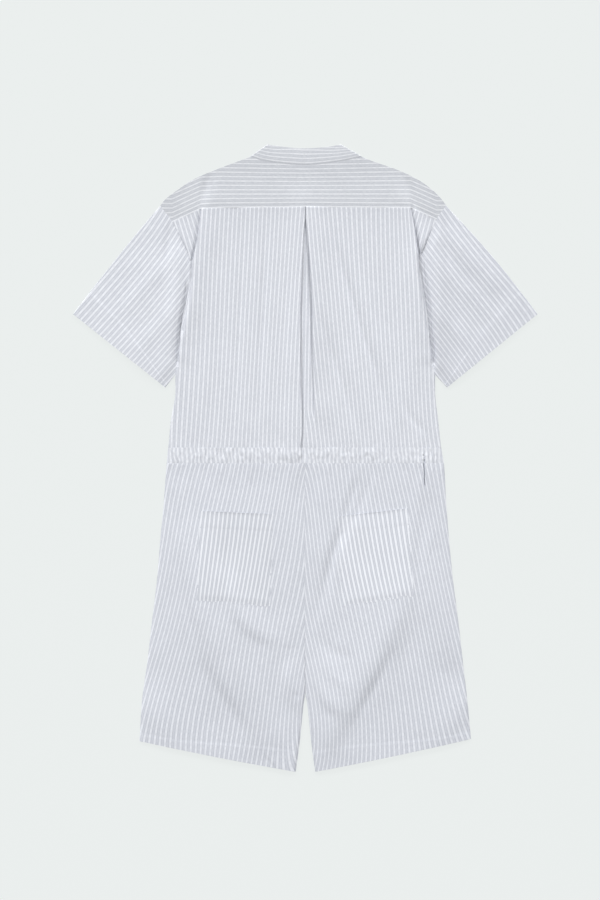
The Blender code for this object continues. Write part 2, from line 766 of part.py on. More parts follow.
def make_waistband_back(collection):
    """Back of the waist: an elastic casing with uneven gathers."""
    rows = []
    for share, ease in CASING_ROWS:
        y = mix(WAIST_TOP, WAIST_BOTTOM + SEAM, share)
        left, right = read(BODY_SIDE, "left", y), read(BODY_SIDE, "right", y)
        row = []
        for x in even(left, right, 3 * GATHERS + 3):
            near = rounding(min(x - left, right - x))
            level = mix(EDGE_LEVEL, LEVEL + waist_rise(x) * ease, near)
            row.append((x, y, level + (BAND_WALL - WALL) / 2))
        rows.append(row)
    return sew("waistband_back", rows, collection, wall=BAND_WALL)


def make_waistband_front(side, sign, collection):
    """One front half of the waist casing, flat on the surface."""
    rows = []
    for y in (WAIST_TOP, WAIST_BOTTOM + SEAM):
        start, end = sign * PLACKET_HALF, read(BODY_SIDE, side, y)
        points = span((start, y), (end, y), even(0.0, 1.0, CASING_FRONT_STEPS), SEAM, 0.0)
        rows.append([(x, height, REST) for x, height in points])
    return sew(f"waistband_front_{side}", rows, collection)


# --- legs ------------------------------------------------------------------------------------


def leg_rise(x, y):
    """Height of a back leg over the front one: fullness, and the folds below the seat."""
    down = smooth((WAIST_BOTTOM - y) / LEG_FULLNESS_START)
    across = math.sin(math.pi * min(abs(x) / LEG_WIDTH, 1.0))
    return down * LEG_FULLNESS * across + crease_rise(LEG_CREASES, x, y)


def leg_level(side, x, y):
    """Height of the middle of a back leg's cloth, turned down at its side and below the crotch."""
    outer = abs(read(BODY_SIDE, side, y) - x)
    inner = abs(read(INNER_LEG, side, y) - x)
    parted = smooth((CROTCH + CROTCH_EASE - y) / (2 * CROTCH_EASE))
    near = rounding(outer) * mix(1.0, rounding(inner), parted)
    waist = SEAT_PLEAT * math.exp(-(((x - WAIST_PLEAT_X) / SEAT_PLEAT_WIDTH) ** 2))
    waist *= 1 - smooth((WAIST_BOTTOM - y) / SEAT_PLEAT_LENGTH)
    return mix(EDGE_LEVEL, LEVEL + leg_rise(x, y) + waist, near)


def leg_inner_height(down):
    """Height of a leg's row at its inner edge, down from waist to hem."""
    return mix(WAIST_BOTTOM - SEAM, HEM_INNER, down)


def leg_plan(side, inner_x, share, down):
    """Plan point of a leg: share from its inner edge to its side, down from waist to hem."""
    side_hem = BODY_SIDE[-1].y + (0.0 if side == "left" else HEM_RIGHT_LIFT)
    outer_y = mix(WAIST_BOTTOM - SEAM, side_hem, down)
    inner_y = leg_inner_height(down)
    outer_x = read(BODY_SIDE, side, outer_y)
    lower = smooth((down - HEM_BOW_START) / (1 - HEM_BOW_START))
    bow = HEM_BOW * math.sin(math.pi * share) * lower
    return mix(inner_x(inner_y), outer_x, share), mix(inner_y, outer_y, share) - bow


def make_leg_back(side, sign, collection):
    """One back leg, with its folds, from the waist casing to the hem."""

    def inner_x(y):
        return read(INNER_LEG, side, y) + sign * SEAM / 2

    rows = []
    for down in LEG_SHARES:
        row = []
        for share in even(0.0, 1.0, LEG_COLUMNS):
            x, y = leg_plan(side, inner_x, share, down)
            row.append((x, y, leg_level(side, x, y)))
        rows.append(row)
    return sew(f"leg_back_{side}", rows, collection)


def make_leg_front(side, sign, collection):
    """One front leg, flat on the surface."""

    def inner_x(y):
        return sign * max(sign * read(INNER_LEG, side, y), placket_half(y)) + sign * SEAM / 2

    rows = []
    for down in LEG_SHARES:
        points = [leg_plan(side, inner_x, share, down) for share in even(0.0, 1.0, FRONT_STEPS)]
        rows.append([(x, y, REST) for x, y in points])
    return sew(f"leg_front_{side}", rows, collection)


def make_pocket(pocket, side, collection):
    """Patch pocket: laid on the back leg, one wall out from the leg's own surface."""
    rows = []
    for down in even(0.0, 1.0, POCKET_STEPS):
        left = np.array(pocket.top_left) * (1 - down) + np.array(pocket.bottom_left) * down
        right = np.array(pocket.top_right) * (1 - down) + np.array(pocket.bottom_right) * down
        row = []
        for share in even(0.0, 1.0, POCKET_STEPS):
            x, y = left + (right - left) * share
            row.append((x, y, leg_level(side, x, y) + WALL + POCKET_GAP))
        rows.append(row)
    return sew(pocket.name, rows, collection)


def main():
    """Build the jumpsuit."""
    clear_scene()
    collection = bpy.data.collections.new(GARMENT)
    bpy.context.scene.collection.children.link(collection)
    make_yoke(collection)
    make_bodice_back(collection)
    make_collar(collection)
    make_placket(collection)
    make_waistband_back(collection)
    for (side, sign), pocket in zip(SIDES, POCKETS):
        make_bodice_front(side, sign, collection)
        make_sleeve(side, sign, collection)
        make_waistband_front(side, sign, collection)
        make_leg_back(side, sign, collection)
        make_leg_front(side, sign, collection)
        make_pocket(pocket, side, collection)


main()
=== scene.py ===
"""A striped cotton jumpsuit, laid flat with its back up.

X runs across the garment, Y up its length and Z up from the surface that it lies on.
Each piece of cloth is a thin shell on the form of its solid, with the stripes, seams,
gathers and creases of the sewn garment. All sizes are in metres.
"""

import logging
import math
from dataclasses import dataclass, field, replace
from enum import Enum
from functools import lru_cache
from typing import NamedTuple, Sequence

import bmesh
import bpy
import numpy as np
from mathutils import Matrix, Vector, noise
from mathutils.bvhtree import BVHTree

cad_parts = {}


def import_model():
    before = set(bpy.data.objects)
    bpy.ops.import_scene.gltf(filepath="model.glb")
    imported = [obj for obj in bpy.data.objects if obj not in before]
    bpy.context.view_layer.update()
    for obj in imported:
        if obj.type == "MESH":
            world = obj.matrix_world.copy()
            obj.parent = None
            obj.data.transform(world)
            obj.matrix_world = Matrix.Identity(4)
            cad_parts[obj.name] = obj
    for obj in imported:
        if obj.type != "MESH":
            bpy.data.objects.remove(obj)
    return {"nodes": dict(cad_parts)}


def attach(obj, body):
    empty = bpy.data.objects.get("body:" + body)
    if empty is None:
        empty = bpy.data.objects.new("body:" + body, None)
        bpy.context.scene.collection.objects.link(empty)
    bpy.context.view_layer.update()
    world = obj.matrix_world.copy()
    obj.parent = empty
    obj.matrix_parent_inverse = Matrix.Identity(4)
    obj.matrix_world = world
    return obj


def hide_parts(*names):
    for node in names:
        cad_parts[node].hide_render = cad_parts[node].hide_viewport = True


LOG = logging.getLogger("jumpsuit")
BODY = "root"
Array = np.ndarray


class Outline(NamedTuple):
    """Left and right edge at one height."""

    y: float
    left: float
    right: float


class Point(NamedTuple):
    """A point in plan."""

    x: float
    y: float


class SideFold(NamedTuple):
    """Fold beside an armhole: its edges, how far it turns (degrees) and how deep it is."""

    y: float
    left: float
    right: float
    turn: float
    depth: float


class Pleat(NamedTuple):
    """The two edges of the inverted pleat, their turns (degrees) and depths."""

    y: float
    left: float
    right: float
    turn_left: float
    turn_right: float
    depth_left: float
    depth_right: float


class FoldRadius(NamedTuple):
    """Radii of the bends of the side folds and of the pleat's two edges."""

    y: float
    side: float
    pleat_left: float
    pleat_right: float


def rows_of(kind: type, *rows: tuple[float, ...]) -> tuple:
    """Table of one kind of row, down or across the garment."""
    return tuple(kind(*row) for row in rows)


class Side(Enum):
    """A side of the garment, with the sign of its X."""

    LEFT = -1
    RIGHT = 1

    @property
    def word(self) -> str:
        """Name of the side in piece names and tables."""
        return self.name.lower()


def both(left: object, right: object) -> object:
    """Field with a value for each side."""
    return field(default_factory=lambda: {Side.LEFT: left, Side.RIGHT: right})


# --- outlines of the garment ---

WALL = 0.0006
BAND_WALL = 0.0009
SEAM = 0.0002
FRONT_LEVEL = 0.0003
BACK_LEVEL = 0.00245
JOIN_LEVEL = 0.001
EDGE_ROLL = 0.004
TUCKED = 0.0006
FOLD_RADIUS = 0.0008
FOLD_STEPS = 6
FOLD_REACH = 0.045
FLAT_TURN = math.radians(0.5)
TURNED_OVER = 120.0

PLEAT_AXIS = 0.0005
WAIST_TOP = 0.0175
WAIST_BOTTOM = -0.0085
UNDERARM = 0.138
YOKE_LINE = 0.4135
SIDE_INSET = 0.005
EDGE_FALL_END = 0.284
SEAM_FADE = 0.36
HEM_RIGHT_LIFT = 0.0035
YOKE_NECK = 0.105
PLACKET_HALF = 0.015
PLACKET_POINT = 0.05
CROTCH = -0.39
HEM_INNER = -0.517
HEM_BOW = 0.0014
SLEEVE_BOW = {Side.LEFT: 0.0012, Side.RIGHT: 0.003}

SHOULDER = rows_of(
    Outline,
    (0.497, -0.0895, 0.0935),
    (0.4905, -0.107, 0.1095),
    (0.4755, -0.147, 0.152),
    (0.459, -0.185, 0.1865),
    (0.4425, -0.2095, 0.2095),
    (0.426, -0.231, 0.226),
    (0.4165, -0.2385, 0.2325),
)
ARMHOLE = rows_of(
    Outline,
    (0.4165, -0.2385, 0.2325),
    (0.4035, -0.229, 0.223),
    (0.3945, -0.2222, 0.2168),
    (0.39, -0.219, 0.2145),
    (0.3805, -0.2135, 0.2105),
    (0.3605, -0.203, 0.2015),
    (0.342, -0.1945, 0.1932),
    (0.3235, -0.189, 0.187),
    (0.304, -0.1865, 0.188),
    (0.256, -0.192, 0.1945),
    (0.2165, -0.2005, 0.2005),
    (0.195, -0.2055, 0.2055),
    (0.18, -0.208, 0.208),
    (0.1635, -0.2105, 0.211),
    (0.147, -0.2125, 0.213),
    (0.138, -0.214, 0.2145),
)
BODY_SIDE = rows_of(
    Outline,
    (0.138, -0.214, 0.2145),
    (0.1125, -0.2135, 0.2145),
    (0.063, -0.221, 0.2195),
    (0.0175, -0.2255, 0.2245),
    (-0.0085, -0.228, 0.229),
    (-0.069, -0.2325, 0.2325),
    (-0.135, -0.2385, 0.2375),
    (-0.201, -0.244, 0.244),
    (-0.267, -0.252, 0.2525),
    (-0.333, -0.2595, 0.26),
    (-0.399, -0.2685, 0.2675),
    (-0.4665, -0.273, 0.274),
)
INNER_LEG = rows_of(
    Outline,
    (-0.0085, -0.0005, -0.0005),
    (-0.36, -0.0002, 0.0002),
    (-0.39, -0.0003, 0.0008),
    (-0.399, -0.0015, 0.0028),
    (-0.4155, -0.0035, 0.005),
    (-0.465, -0.0085, 0.01),
    (-0.517, -0.0155, 0.017),
)
NECK_SEAM = rows_of(
    Point,
    (-0.0895, 0.497),
    (-0.0695, 0.4905),
    (-0.0365, 0.4855),
    (0.0, 0.483),
    (0.0365, 0.4862),
    (0.066, 0.4908),
    (0.0935, 0.497),
)
BAND_TOP = rows_of(
    Point,
    (-0.0605, 0.517),
    (-0.033, 0.513),
    (-0.0015, 0.5107),
    (0.028, 0.5122),
    (0.058, 0.5165),
)
FRONT_NECK = rows_of(
    Outline,
    (0.497, -0.0895, 0.0935),
    (0.472, -0.081, 0.084),
    (0.4475, -0.0625, 0.066),
    (0.429, -0.0365, 0.0395),
    (0.4215, -0.015, 0.015),
    (0.4205, -0.001, 0.001),
)
FRONT_BAND_TOP = rows_of(
    Outline,
    (0.517, -0.0605, 0.058),
    (0.492, -0.0555, 0.053),
    (0.4705, -0.043, 0.043),
    (0.455, -0.023, 0.023),
    (0.449, -0.0115, 0.0115),
    (0.4485, -0.001, 0.001),
)
CUFF = rows_of(
    Outline,
    (0.2375, -0.3825, 0.3835),
    (0.1165, -0.2305, 0.2342),
)
YOKE_SEAM = rows_of(
    Point,
    (-0.219, 0.39),
    (-0.1715, 0.412),
    (-0.14, 0.4135),
    (0.0, 0.415),
    (0.174, 0.4135),
    (0.2168, 0.3945),
)
SIDE_FOLDS = rows_of(
    SideFold,
    (0.4135, -0.1715, 0.174, 180, 0.0005),
    (0.389, -0.174, 0.179, 180, 0.0005),
    (0.355, -0.1785, 0.184, 180, 0.005),
    (0.3235, -0.186, 0.189, 180, 0.008),
    (0.304, -0.1895, 0.192, 180, 0.009),
    (0.256, -0.1975, 0.1995, 180, 0.009),
    (0.2165, -0.205, 0.2045, 180, 0.0075),
    (0.195, -0.207, 0.2065, 180, 0.004),
    (0.18, -0.2085, 0.2085, 180, 0.0004),
    (0.1635, -0.2078, 0.2083, 90, 0.0001),
    (0.147, -0.2075, 0.208, 0, 0.0001),
    (0.138, -0.2088, 0.2093, 0, 0.0005),
)
PLEATS = rows_of(
    Pleat,
    (0.415, 0.0, 0.001, 180, 180, 0.015, 0.015),
    (0.3945, 0.0, 0.001, 180, 180, 0.015, 0.015),
    (0.373, -0.002, 0.004, 180, 180, 0.015, 0.015),
    (0.342, -0.0035, 0.0065, 180, 180, 0.015, 0.015),
    (0.284, -0.0055, 0.0105, 180, 180, 0.014, 0.014),
    (0.223, -0.0075, 0.0125, 180, 180, 0.013, 0.013),
    (0.129, -0.007, 0.014, 180, 180, 0.011, 0.003),
    (0.115, -0.0065, 0.0145, 180, 180, 0.01, 0.0005),
    (0.0845, -0.0055, 0.0155, 180, 100, 0.009, 0.0005),
    (0.045, -0.005, 0.0155, 180, 0, 0.008, 0.0005),
    (0.0175, -0.008, 0.015, 180, 0, 0.007, 0.0005),
)
FOLD_RADII = rows_of(
    FoldRadius,
    (0.4135, 0.0004, 0.0004, 0.00055),
    (0.39, 0.00055, 0.00048, 0.00075),
    (0.35, 0.0008, 0.00055, 0.001),
    (0.3, 0.00102, 0.00065, 0.00115),
    (0.256, 0.001, 0.0007, 0.00115),
    (0.2165, 0.00076, 0.00075, 0.001),
    (0.195, 0.00054, 0.0008, 0.00085),
    (0.18, 0.00036, 0.0008, 0.0007),
    (0.1635, 0.00018, 0.00085, 0.0006),
    (0.147, 0.00008, 0.00085, 0.0005),
    (0.115, 0.00006, 0.00085, 0.00032),
    (0.0845, 0.00006, 0.00085, 0.0002),
    (0.0175, 0.00006, 0.0006, 0.0001),
)
LAP = 0.0012
HIDDEN = 0.0002
CLOSE = 0.0001
SHOULDER_LEVEL = 0.0026
SWELL_HEIGHT = 0.0025
SWELL_BELOW = 0.065
SWELL_ABOVE = 0.035
SWELL_SIDE = 0.18
SWELL_FADE = 0.042
EDGE_SHARE = 0.06
TINY = 1e-6


# --- curves and surfaces ---


def smooth(value: Array | float) -> Array:
    """Ease from 0 to 1 as a value passes from 0 to 1."""
    value = np.clip(value, 0.0, 1.0)
    return value * value * (3 - 2 * value)


def mix(first: Array | float, second: Array | float, share: Array | float) -> Array:
    """Blend two numbers or arrays."""
    return first + (second - first) * share


def past(distance: Array | float, width: float) -> Array:
    """Ease from 0 to 1 over a width, as a distance passes through 0."""
    return smooth(distance / width + 0.5)


def bell(distance: Array | float, width: float) -> Array:
    """Fall from 1 at a distance of 0 to nothing on both sides."""
    return np.exp(-((distance / width) ** 2))


def quarter(share: Array | float) -> Array:
    """Height share of a quarter circle at a share of its reach."""
    return np.sqrt(1 - (1 - np.clip(share, 0.0, 1.0)) ** 2)


def even(count: int) -> Array:
    """Evenly spaced shares from 0 to 1."""
    return np.linspace(0.0, 1.0, count + 1)


@dataclass(frozen=True)
class Fade:
    """Ease from 0 at its start to 1, over a length whose sign is its direction."""

    start: float
    length: float

    def at(self, place: Array | float) -> Array:
        """Share at a place."""
        return smooth((place - self.start) / self.length)


class Curve:
    """Smooth curve through points at rising places, which never overshoots them."""

    def __init__(self, places: Sequence[float], values: Sequence[float]) -> None:
        """Work out the slopes at the points.

        Args:
            places: Rising places.
            values: Value at each place.
        """
        self.places = np.array(places, dtype=float)
        self.values = np.array(values, dtype=float)
        steps = np.diff(self.places)
        rises = np.diff(self.values) / steps
        self.slopes = np.zeros(len(self.places))
        self.slopes[0], self.slopes[-1] = rises[0], rises[-1]
        for i in range(1, len(self.places) - 1):
            if rises[i - 1] * rises[i] > 0:
                before, after = 2 * steps[i] + steps[i - 1], steps[i] + 2 * steps[i - 1]
                slope = (before + after) / (before / rises[i - 1] + after / rises[i])
                self.slopes[i] = slope

    def at(self, place: Array | float) -> Array:
        """Value of the curve.

        Args:
            place: One place, or an array of them.

        Returns:
            Values at those places, held at the ends of the curve.
        """
        place = np.asarray(place, dtype=float)
        i = np.clip(np.searchsorted(self.places, place) - 1, 0, len(self.places) - 2)
        step = self.places[i + 1] - self.places[i]
        t = np.clip((place - self.places[i]) / step, 0.0, 1.0)
        return (
            (1 + 2 * t) * (1 - t) ** 2 * self.values[i]
            + t * (1 - t) ** 2 * step * self.slopes[i]
            + t * t * (3 - 2 * t) * self.values[i + 1]
            - t * t * (1 - t) * step * self.slopes[i + 1]
        )


@lru_cache(maxsize=None)
def column(table: tuple, name: str) -> Curve:
    """Curve of one column of a table whose rows go down the garment."""
    rows = table[::-1]
    return Curve([row.y for row in rows], [getattr(row, name) for row in rows])


def along(points: Sequence, shares: Array | float) -> Array:
    """Points at shares of the length of the smooth curve through some points.

    Args:
        points: Plan points.
        shares: Shares from 0 to 1.

    Returns:
        Array of plan points.
    """
    points = np.array(points, dtype=float)[:, :2]
    steps = np.linalg.norm(np.diff(points, axis=0), axis=1)
    lengths = np.concatenate([[0.0], np.cumsum(steps)])
    places = np.asarray(shares, dtype=float) * lengths[-1]
    return np.stack([Curve(lengths, points[:, axis]).at(places) for axis in range(2)], axis=-1)


def two_runs(down: Array, split: float, first: Sequence, second: Sequence) -> Array:
    """Points down an edge that follows one curve and then another.

    Args:
        down: Shares from 0 to 1.
        split: Share at which the second curve starts.
        first: Plan points of the first curve.
        second: Plan points of the second curve.

    Returns:
        Array of plan points.
    """
    upper = along(first, np.clip(down / split, 0, 1))
    lower = along(second, np.clip((down - split) / (1 - split), 0, 1))
    return np.where((down <= split)[:, None], upper, lower)


def moved(start: Array, goal: Array, distance: float) -> Array:
    """Point at a distance from one point towards another."""
    return start + (goal - start) / np.linalg.norm(goal - start) * distance


def edge_points(table: tuple, side: Side) -> Array:
    """Plan points down one side of an outline table."""
    return np.array([(getattr(row, side.word), row.y) for row in table])


def seam_height(x: Array | float) -> Array:
    """Height of the yoke seam."""
    return np.interp(x, [point.x for point in YOKE_SEAM], [point.y for point in YOKE_SEAM])


def seam_swell(x: Array, y: Array) -> Array:
    """How far the thick yoke seam lifts the cloth below and above it."""
    below = seam_height(x) - y
    reach = np.where(below > 0, below / SWELL_BELOW, (below / SWELL_ABOVE) ** 2)
    return SWELL_HEIGHT * np.exp(-reach) * (1 - smooth((np.abs(x) - SWELL_SIDE) / SWELL_FADE))


def edge_height(side: Side, y: Array | float) -> Array:
    """Height at the armhole of the section that lies at y beside the pleat."""
    fall = YOKE_LINE - (YOKE_SEAM[0].y if side is Side.LEFT else YOKE_SEAM[-1].y)
    return y - fall * smooth((y - EDGE_FALL_END) / (YOKE_LINE - EDGE_FALL_END))


def unevenness(x: Array, y: Array, size: float, stretch: float, seed: float) -> Array:
    """Smooth chance heights from -1 to 1.

    Args:
        x: Places across.
        y: Places along.
        size: Size of one swell across.
        stretch: How many times as long as wide it is.
        seed: Picks the pattern.

    Returns:
        Array of heights.
    """
    x, y = np.broadcast_arrays(np.asarray(x, dtype=float), np.asarray(y, dtype=float))
    long = size * stretch
    flat = [noise.noise((u / size, v / long, seed)) for u, v in zip(x.ravel(), y.ravel())]
    return np.array(flat).reshape(x.shape)


@dataclass(frozen=True)
class Ripple:
    """Smooth chance waves: their height, size across, stretch along and pattern."""

    height: float
    size: float
    stretch: float
    seed: float

    def at(self, x: Array, y: Array, turn: float = 0.0) -> Array:
        """Height of the waves, above and below zero; the turn picks another pattern."""
        return self.height * unevenness(x, y, self.size, self.stretch, self.seed + turn)

    def raised(self, x: Array, y: Array, turn: float = 0.0) -> Array:
        """Height of the same waves, raised until none is below zero."""
        return self.height + self.at(x, y, turn)


CREASE_STEPS = 40
CREASE_END = 0.04
STEP_REACH = 4.0


class Profile(Enum):
    """How a crease falls away from its line."""

    SOFT = "soft"
    STEP = "step"


@dataclass(frozen=True)
class Crease:
    """A crease along a bent line. Its height is below zero for a trough.

    A step is high on the left of its line and falls away to the right.
    """

    start: Point
    middle: Point
    end: Point
    width: float
    height: float
    profile: Profile = Profile.SOFT

    def rise(self, x: Array, y: Array) -> Array:
        """Height that the crease adds.

        Args:
            x: Places across.
            y: Places up the garment.

        Returns:
            Array of heights.
        """
        shares = even(CREASE_STEPS)[:, None]
        start, middle, end = (np.array(point) for point in (self.start, self.middle, self.end))
        line = start * (1 - shares) ** 2 + 2 * middle * shares * (1 - shares) + end * shares**2
        spots = np.stack([np.ravel(x), np.ravel(y)], axis=1)
        nearest = np.zeros(len(spots))
        closest = np.full(len(spots), np.inf)
        turned = np.zeros(len(spots))
        for i, (first, last) in enumerate(zip(line, line[1:])):
            step = last - first
            share = np.clip((spots - first) @ step / (step @ step), 0.0, 1.0)
            distance = np.linalg.norm(spots - first - share[:, None] * step, axis=1)
            across = step[0] * (spots[:, 1] - first[1]) - step[1] * (spots[:, 0] - first[0])
            closer = distance < closest
            closest = np.where(closer, distance, closest)
            nearest = np.where(closer, (i + share) / (len(line) - 1), nearest)
            turned = np.where(closer, np.sign(across), turned)
        fade = np.sin(np.pi * mix(CREASE_END, 1 - CREASE_END, nearest))
        if self.profile is Profile.STEP:
            beyond = closest * turned
            shape = 0.5 * (1 + np.tanh(beyond / self.width))
            shape = shape * bell(np.maximum(beyond, 0.0), STEP_REACH * self.width)
        else:
            shape = bell(closest, self.width)
        return (self.height * fade * shape).reshape(np.shape(x))


def crease(*numbers: float, profile: Profile = Profile.SOFT) -> Crease:
    """Crease from the X and Y of its start, middle and end, its width and its height."""
    start, middle, end = (Point(*numbers[i : i + 2]) for i in (0, 2, 4))
    return Crease(start, middle, end, *numbers[6:], profile)


def ledge(*numbers: float) -> Crease:
    """Crease that is a step, from the same numbers."""
    return crease(*numbers, profile=Profile.STEP)


def creased(creases: Sequence[Crease], x: Array, y: Array) -> Array:
    """Height that several creases add at places of the cloth."""
    return sum((crease.rise(x, y) for crease in creases), np.zeros(np.shape(x)))


@dataclass(frozen=True)
class Stripes:
    """Where a panel's stripes run: the stripe number at stations across and down it."""

    across: tuple[float, ...]
    down: tuple[float, ...]
    numbers: tuple[tuple[float, ...], ...]

    def at(self, x: Array, y: Array) -> Array:
        """Stripe numbers at places of the panel.

        Args:
            x: Places across.
            y: Places up the garment.

        Returns:
            Array of stripe numbers, whole at the middle of each white stripe.
        """
        x, y = np.broadcast_arrays(np.asarray(x, dtype=float), np.asarray(y, dtype=float))
        total = np.zeros(x.shape)
        for row, down in zip(self.numbers, self._weights(self.down, y)):
            for number, across in zip(row, self._weights(self.across, x)):
                total = total + number * across * down
        return total

    @staticmethod
    def _weights(stations: tuple[float, ...], place: Array) -> list[Array]:
        """Weight of each station at some places."""
        weights = []
        for station in stations:
            others = [other for other in stations if other != station]
            parts = [(place - other) / (station - other) for other in others]
            weights.append(np.prod(parts, axis=0))
        return weights


@dataclass(frozen=True)
class StraightStripes:
    """Straight stripes of even width, leaning by some degrees."""

    pitch: float
    lean: float = 0.0
    first: float = 0.0

    def at(self, x: Array, y: Array) -> Array:
        """Stripe numbers at places of the panel.

        Args:
            x: Places across.
            y: Places up the garment.

        Returns:
            Array of stripe numbers.
        """
        lean = math.radians(self.lean)
        across = np.asarray(x) * math.cos(lean) - np.asarray(y) * math.sin(lean)
        return self.first + across / self.pitch


STRIPE_PITCH = 0.0072
BODICE_STRIPES = {
    Side.LEFT: Stripes(
        (-0.2145, -0.1441, -0.0737, -0.0033),
        (0.4045, 0.278, 0.1515, 0.025),
        (
            (0.18, 9.4, 19.42, 29.65),
            (1.07, 10.28, 20.4, 31.1),
            (1.97, 11.05, 21.52, 32.08),
            (2.71, 12.29, 22.45, 32.55),
        ),
    ),
    Side.RIGHT: Stripes(
        (0.0066, 0.077, 0.1474, 0.2178),
        (0.4045, 0.278, 0.1515, 0.025),
        (
            (5.42, 15.04, 24.24, 37.89),
            (3.85, 13.98, 23.62, 33.57),
            (2.05, 12.47, 22.72, 33.0),
            (0.17, 10.61, 21.35, 31.62),
        ),
    ),
}
LEG_STRIPES = {
    Side.LEFT: Stripes(
        (-0.2557, -0.1716, -0.0874, -0.0033),
        (-0.0146, -0.1322, -0.2497, -0.3673, -0.4849),
        (
            (0.43, 11.28, 23.08, 35.26),
            (2.69, 14.89, 26.48, 38.12),
            (6.13, 18.32, 29.88, 40.69),
            (10.98, 21.87, 32.42, 44.55),
            (14.34, 24.07, 34.73, 44.72),
        ),
    ),
    Side.RIGHT: Stripes(
        (0.0033, 0.0907, 0.1782, 0.2656),
        (-0.0146, -0.1322, -0.2497, -0.3673, -0.4849),
        (
            (11.53, 23.75, 36.81, 47.98),
            (8.28, 21.17, 32.95, 47.47),
            (5.69, 18.02, 29.59, 42.62),
            (1.8, 14.8, 26.7, 37.99),
            (0.16, 13.54, 24.69, 33.59),
        ),
    ),
}
SLEEVE_STRIPES = {
    Side.LEFT: Stripes(
        (-0.3614, -0.2772, -0.193),
        (0.4045, 0.2733, 0.1421),
        ((0.92, 6.9, 16.19), (9.2, 16.8, 25.32), (20.46, 28.23, 37.06)),
    ),
    Side.RIGHT: Stripes(
        (0.1881, 0.2756, 0.363),
        (0.4045, 0.2733, 0.1421),
        ((23.13, 32.32, 41.26), (12.66, 22.05, 30.06), (0.6, 11.55, 22.65)),
    ),
}
POCKET_STRIPES = {
    Side.LEFT: Stripes(
        (-0.1749, -0.1147, -0.0544),
        (-0.1054, -0.173, -0.2407),
        ((0.58, 8.91, 17.18), (1.73, 10.22, 18.93), (2.79, 12.02, 20.51)),
    ),
    Side.RIGHT: Stripes(
        (0.0561, 0.1163, 0.1766),
        (-0.1004, -0.1705, -0.2407),
        ((4.19, 12.47, 20.03), (2.7, 10.85, 18.82), (0.67, 8.8, 16.98)),
    ),
}
WEDGE_STRIPES = {
    Side.LEFT: StraightStripes(0.007, -17.0),
    Side.RIGHT: StraightStripes(0.007, 15.0),
}
UNDERLAY_STRIPES = StraightStripes(0.0058, 1.0, 0.4)
WAIST_STRIPES = StraightStripes(0.0067, -3.0)
FRONT_STRIPES = StraightStripes(STRIPE_PITCH)


# --- finishes ---


class Cloth(NamedTuple):
    """A finish, and the material slot of the record that it is for."""

    material: bpy.types.Material
    slot: str


Colour = tuple[float, float, float]
Socket = bpy.types.NodeSocket
BUMP_DISTANCE = 0.0001


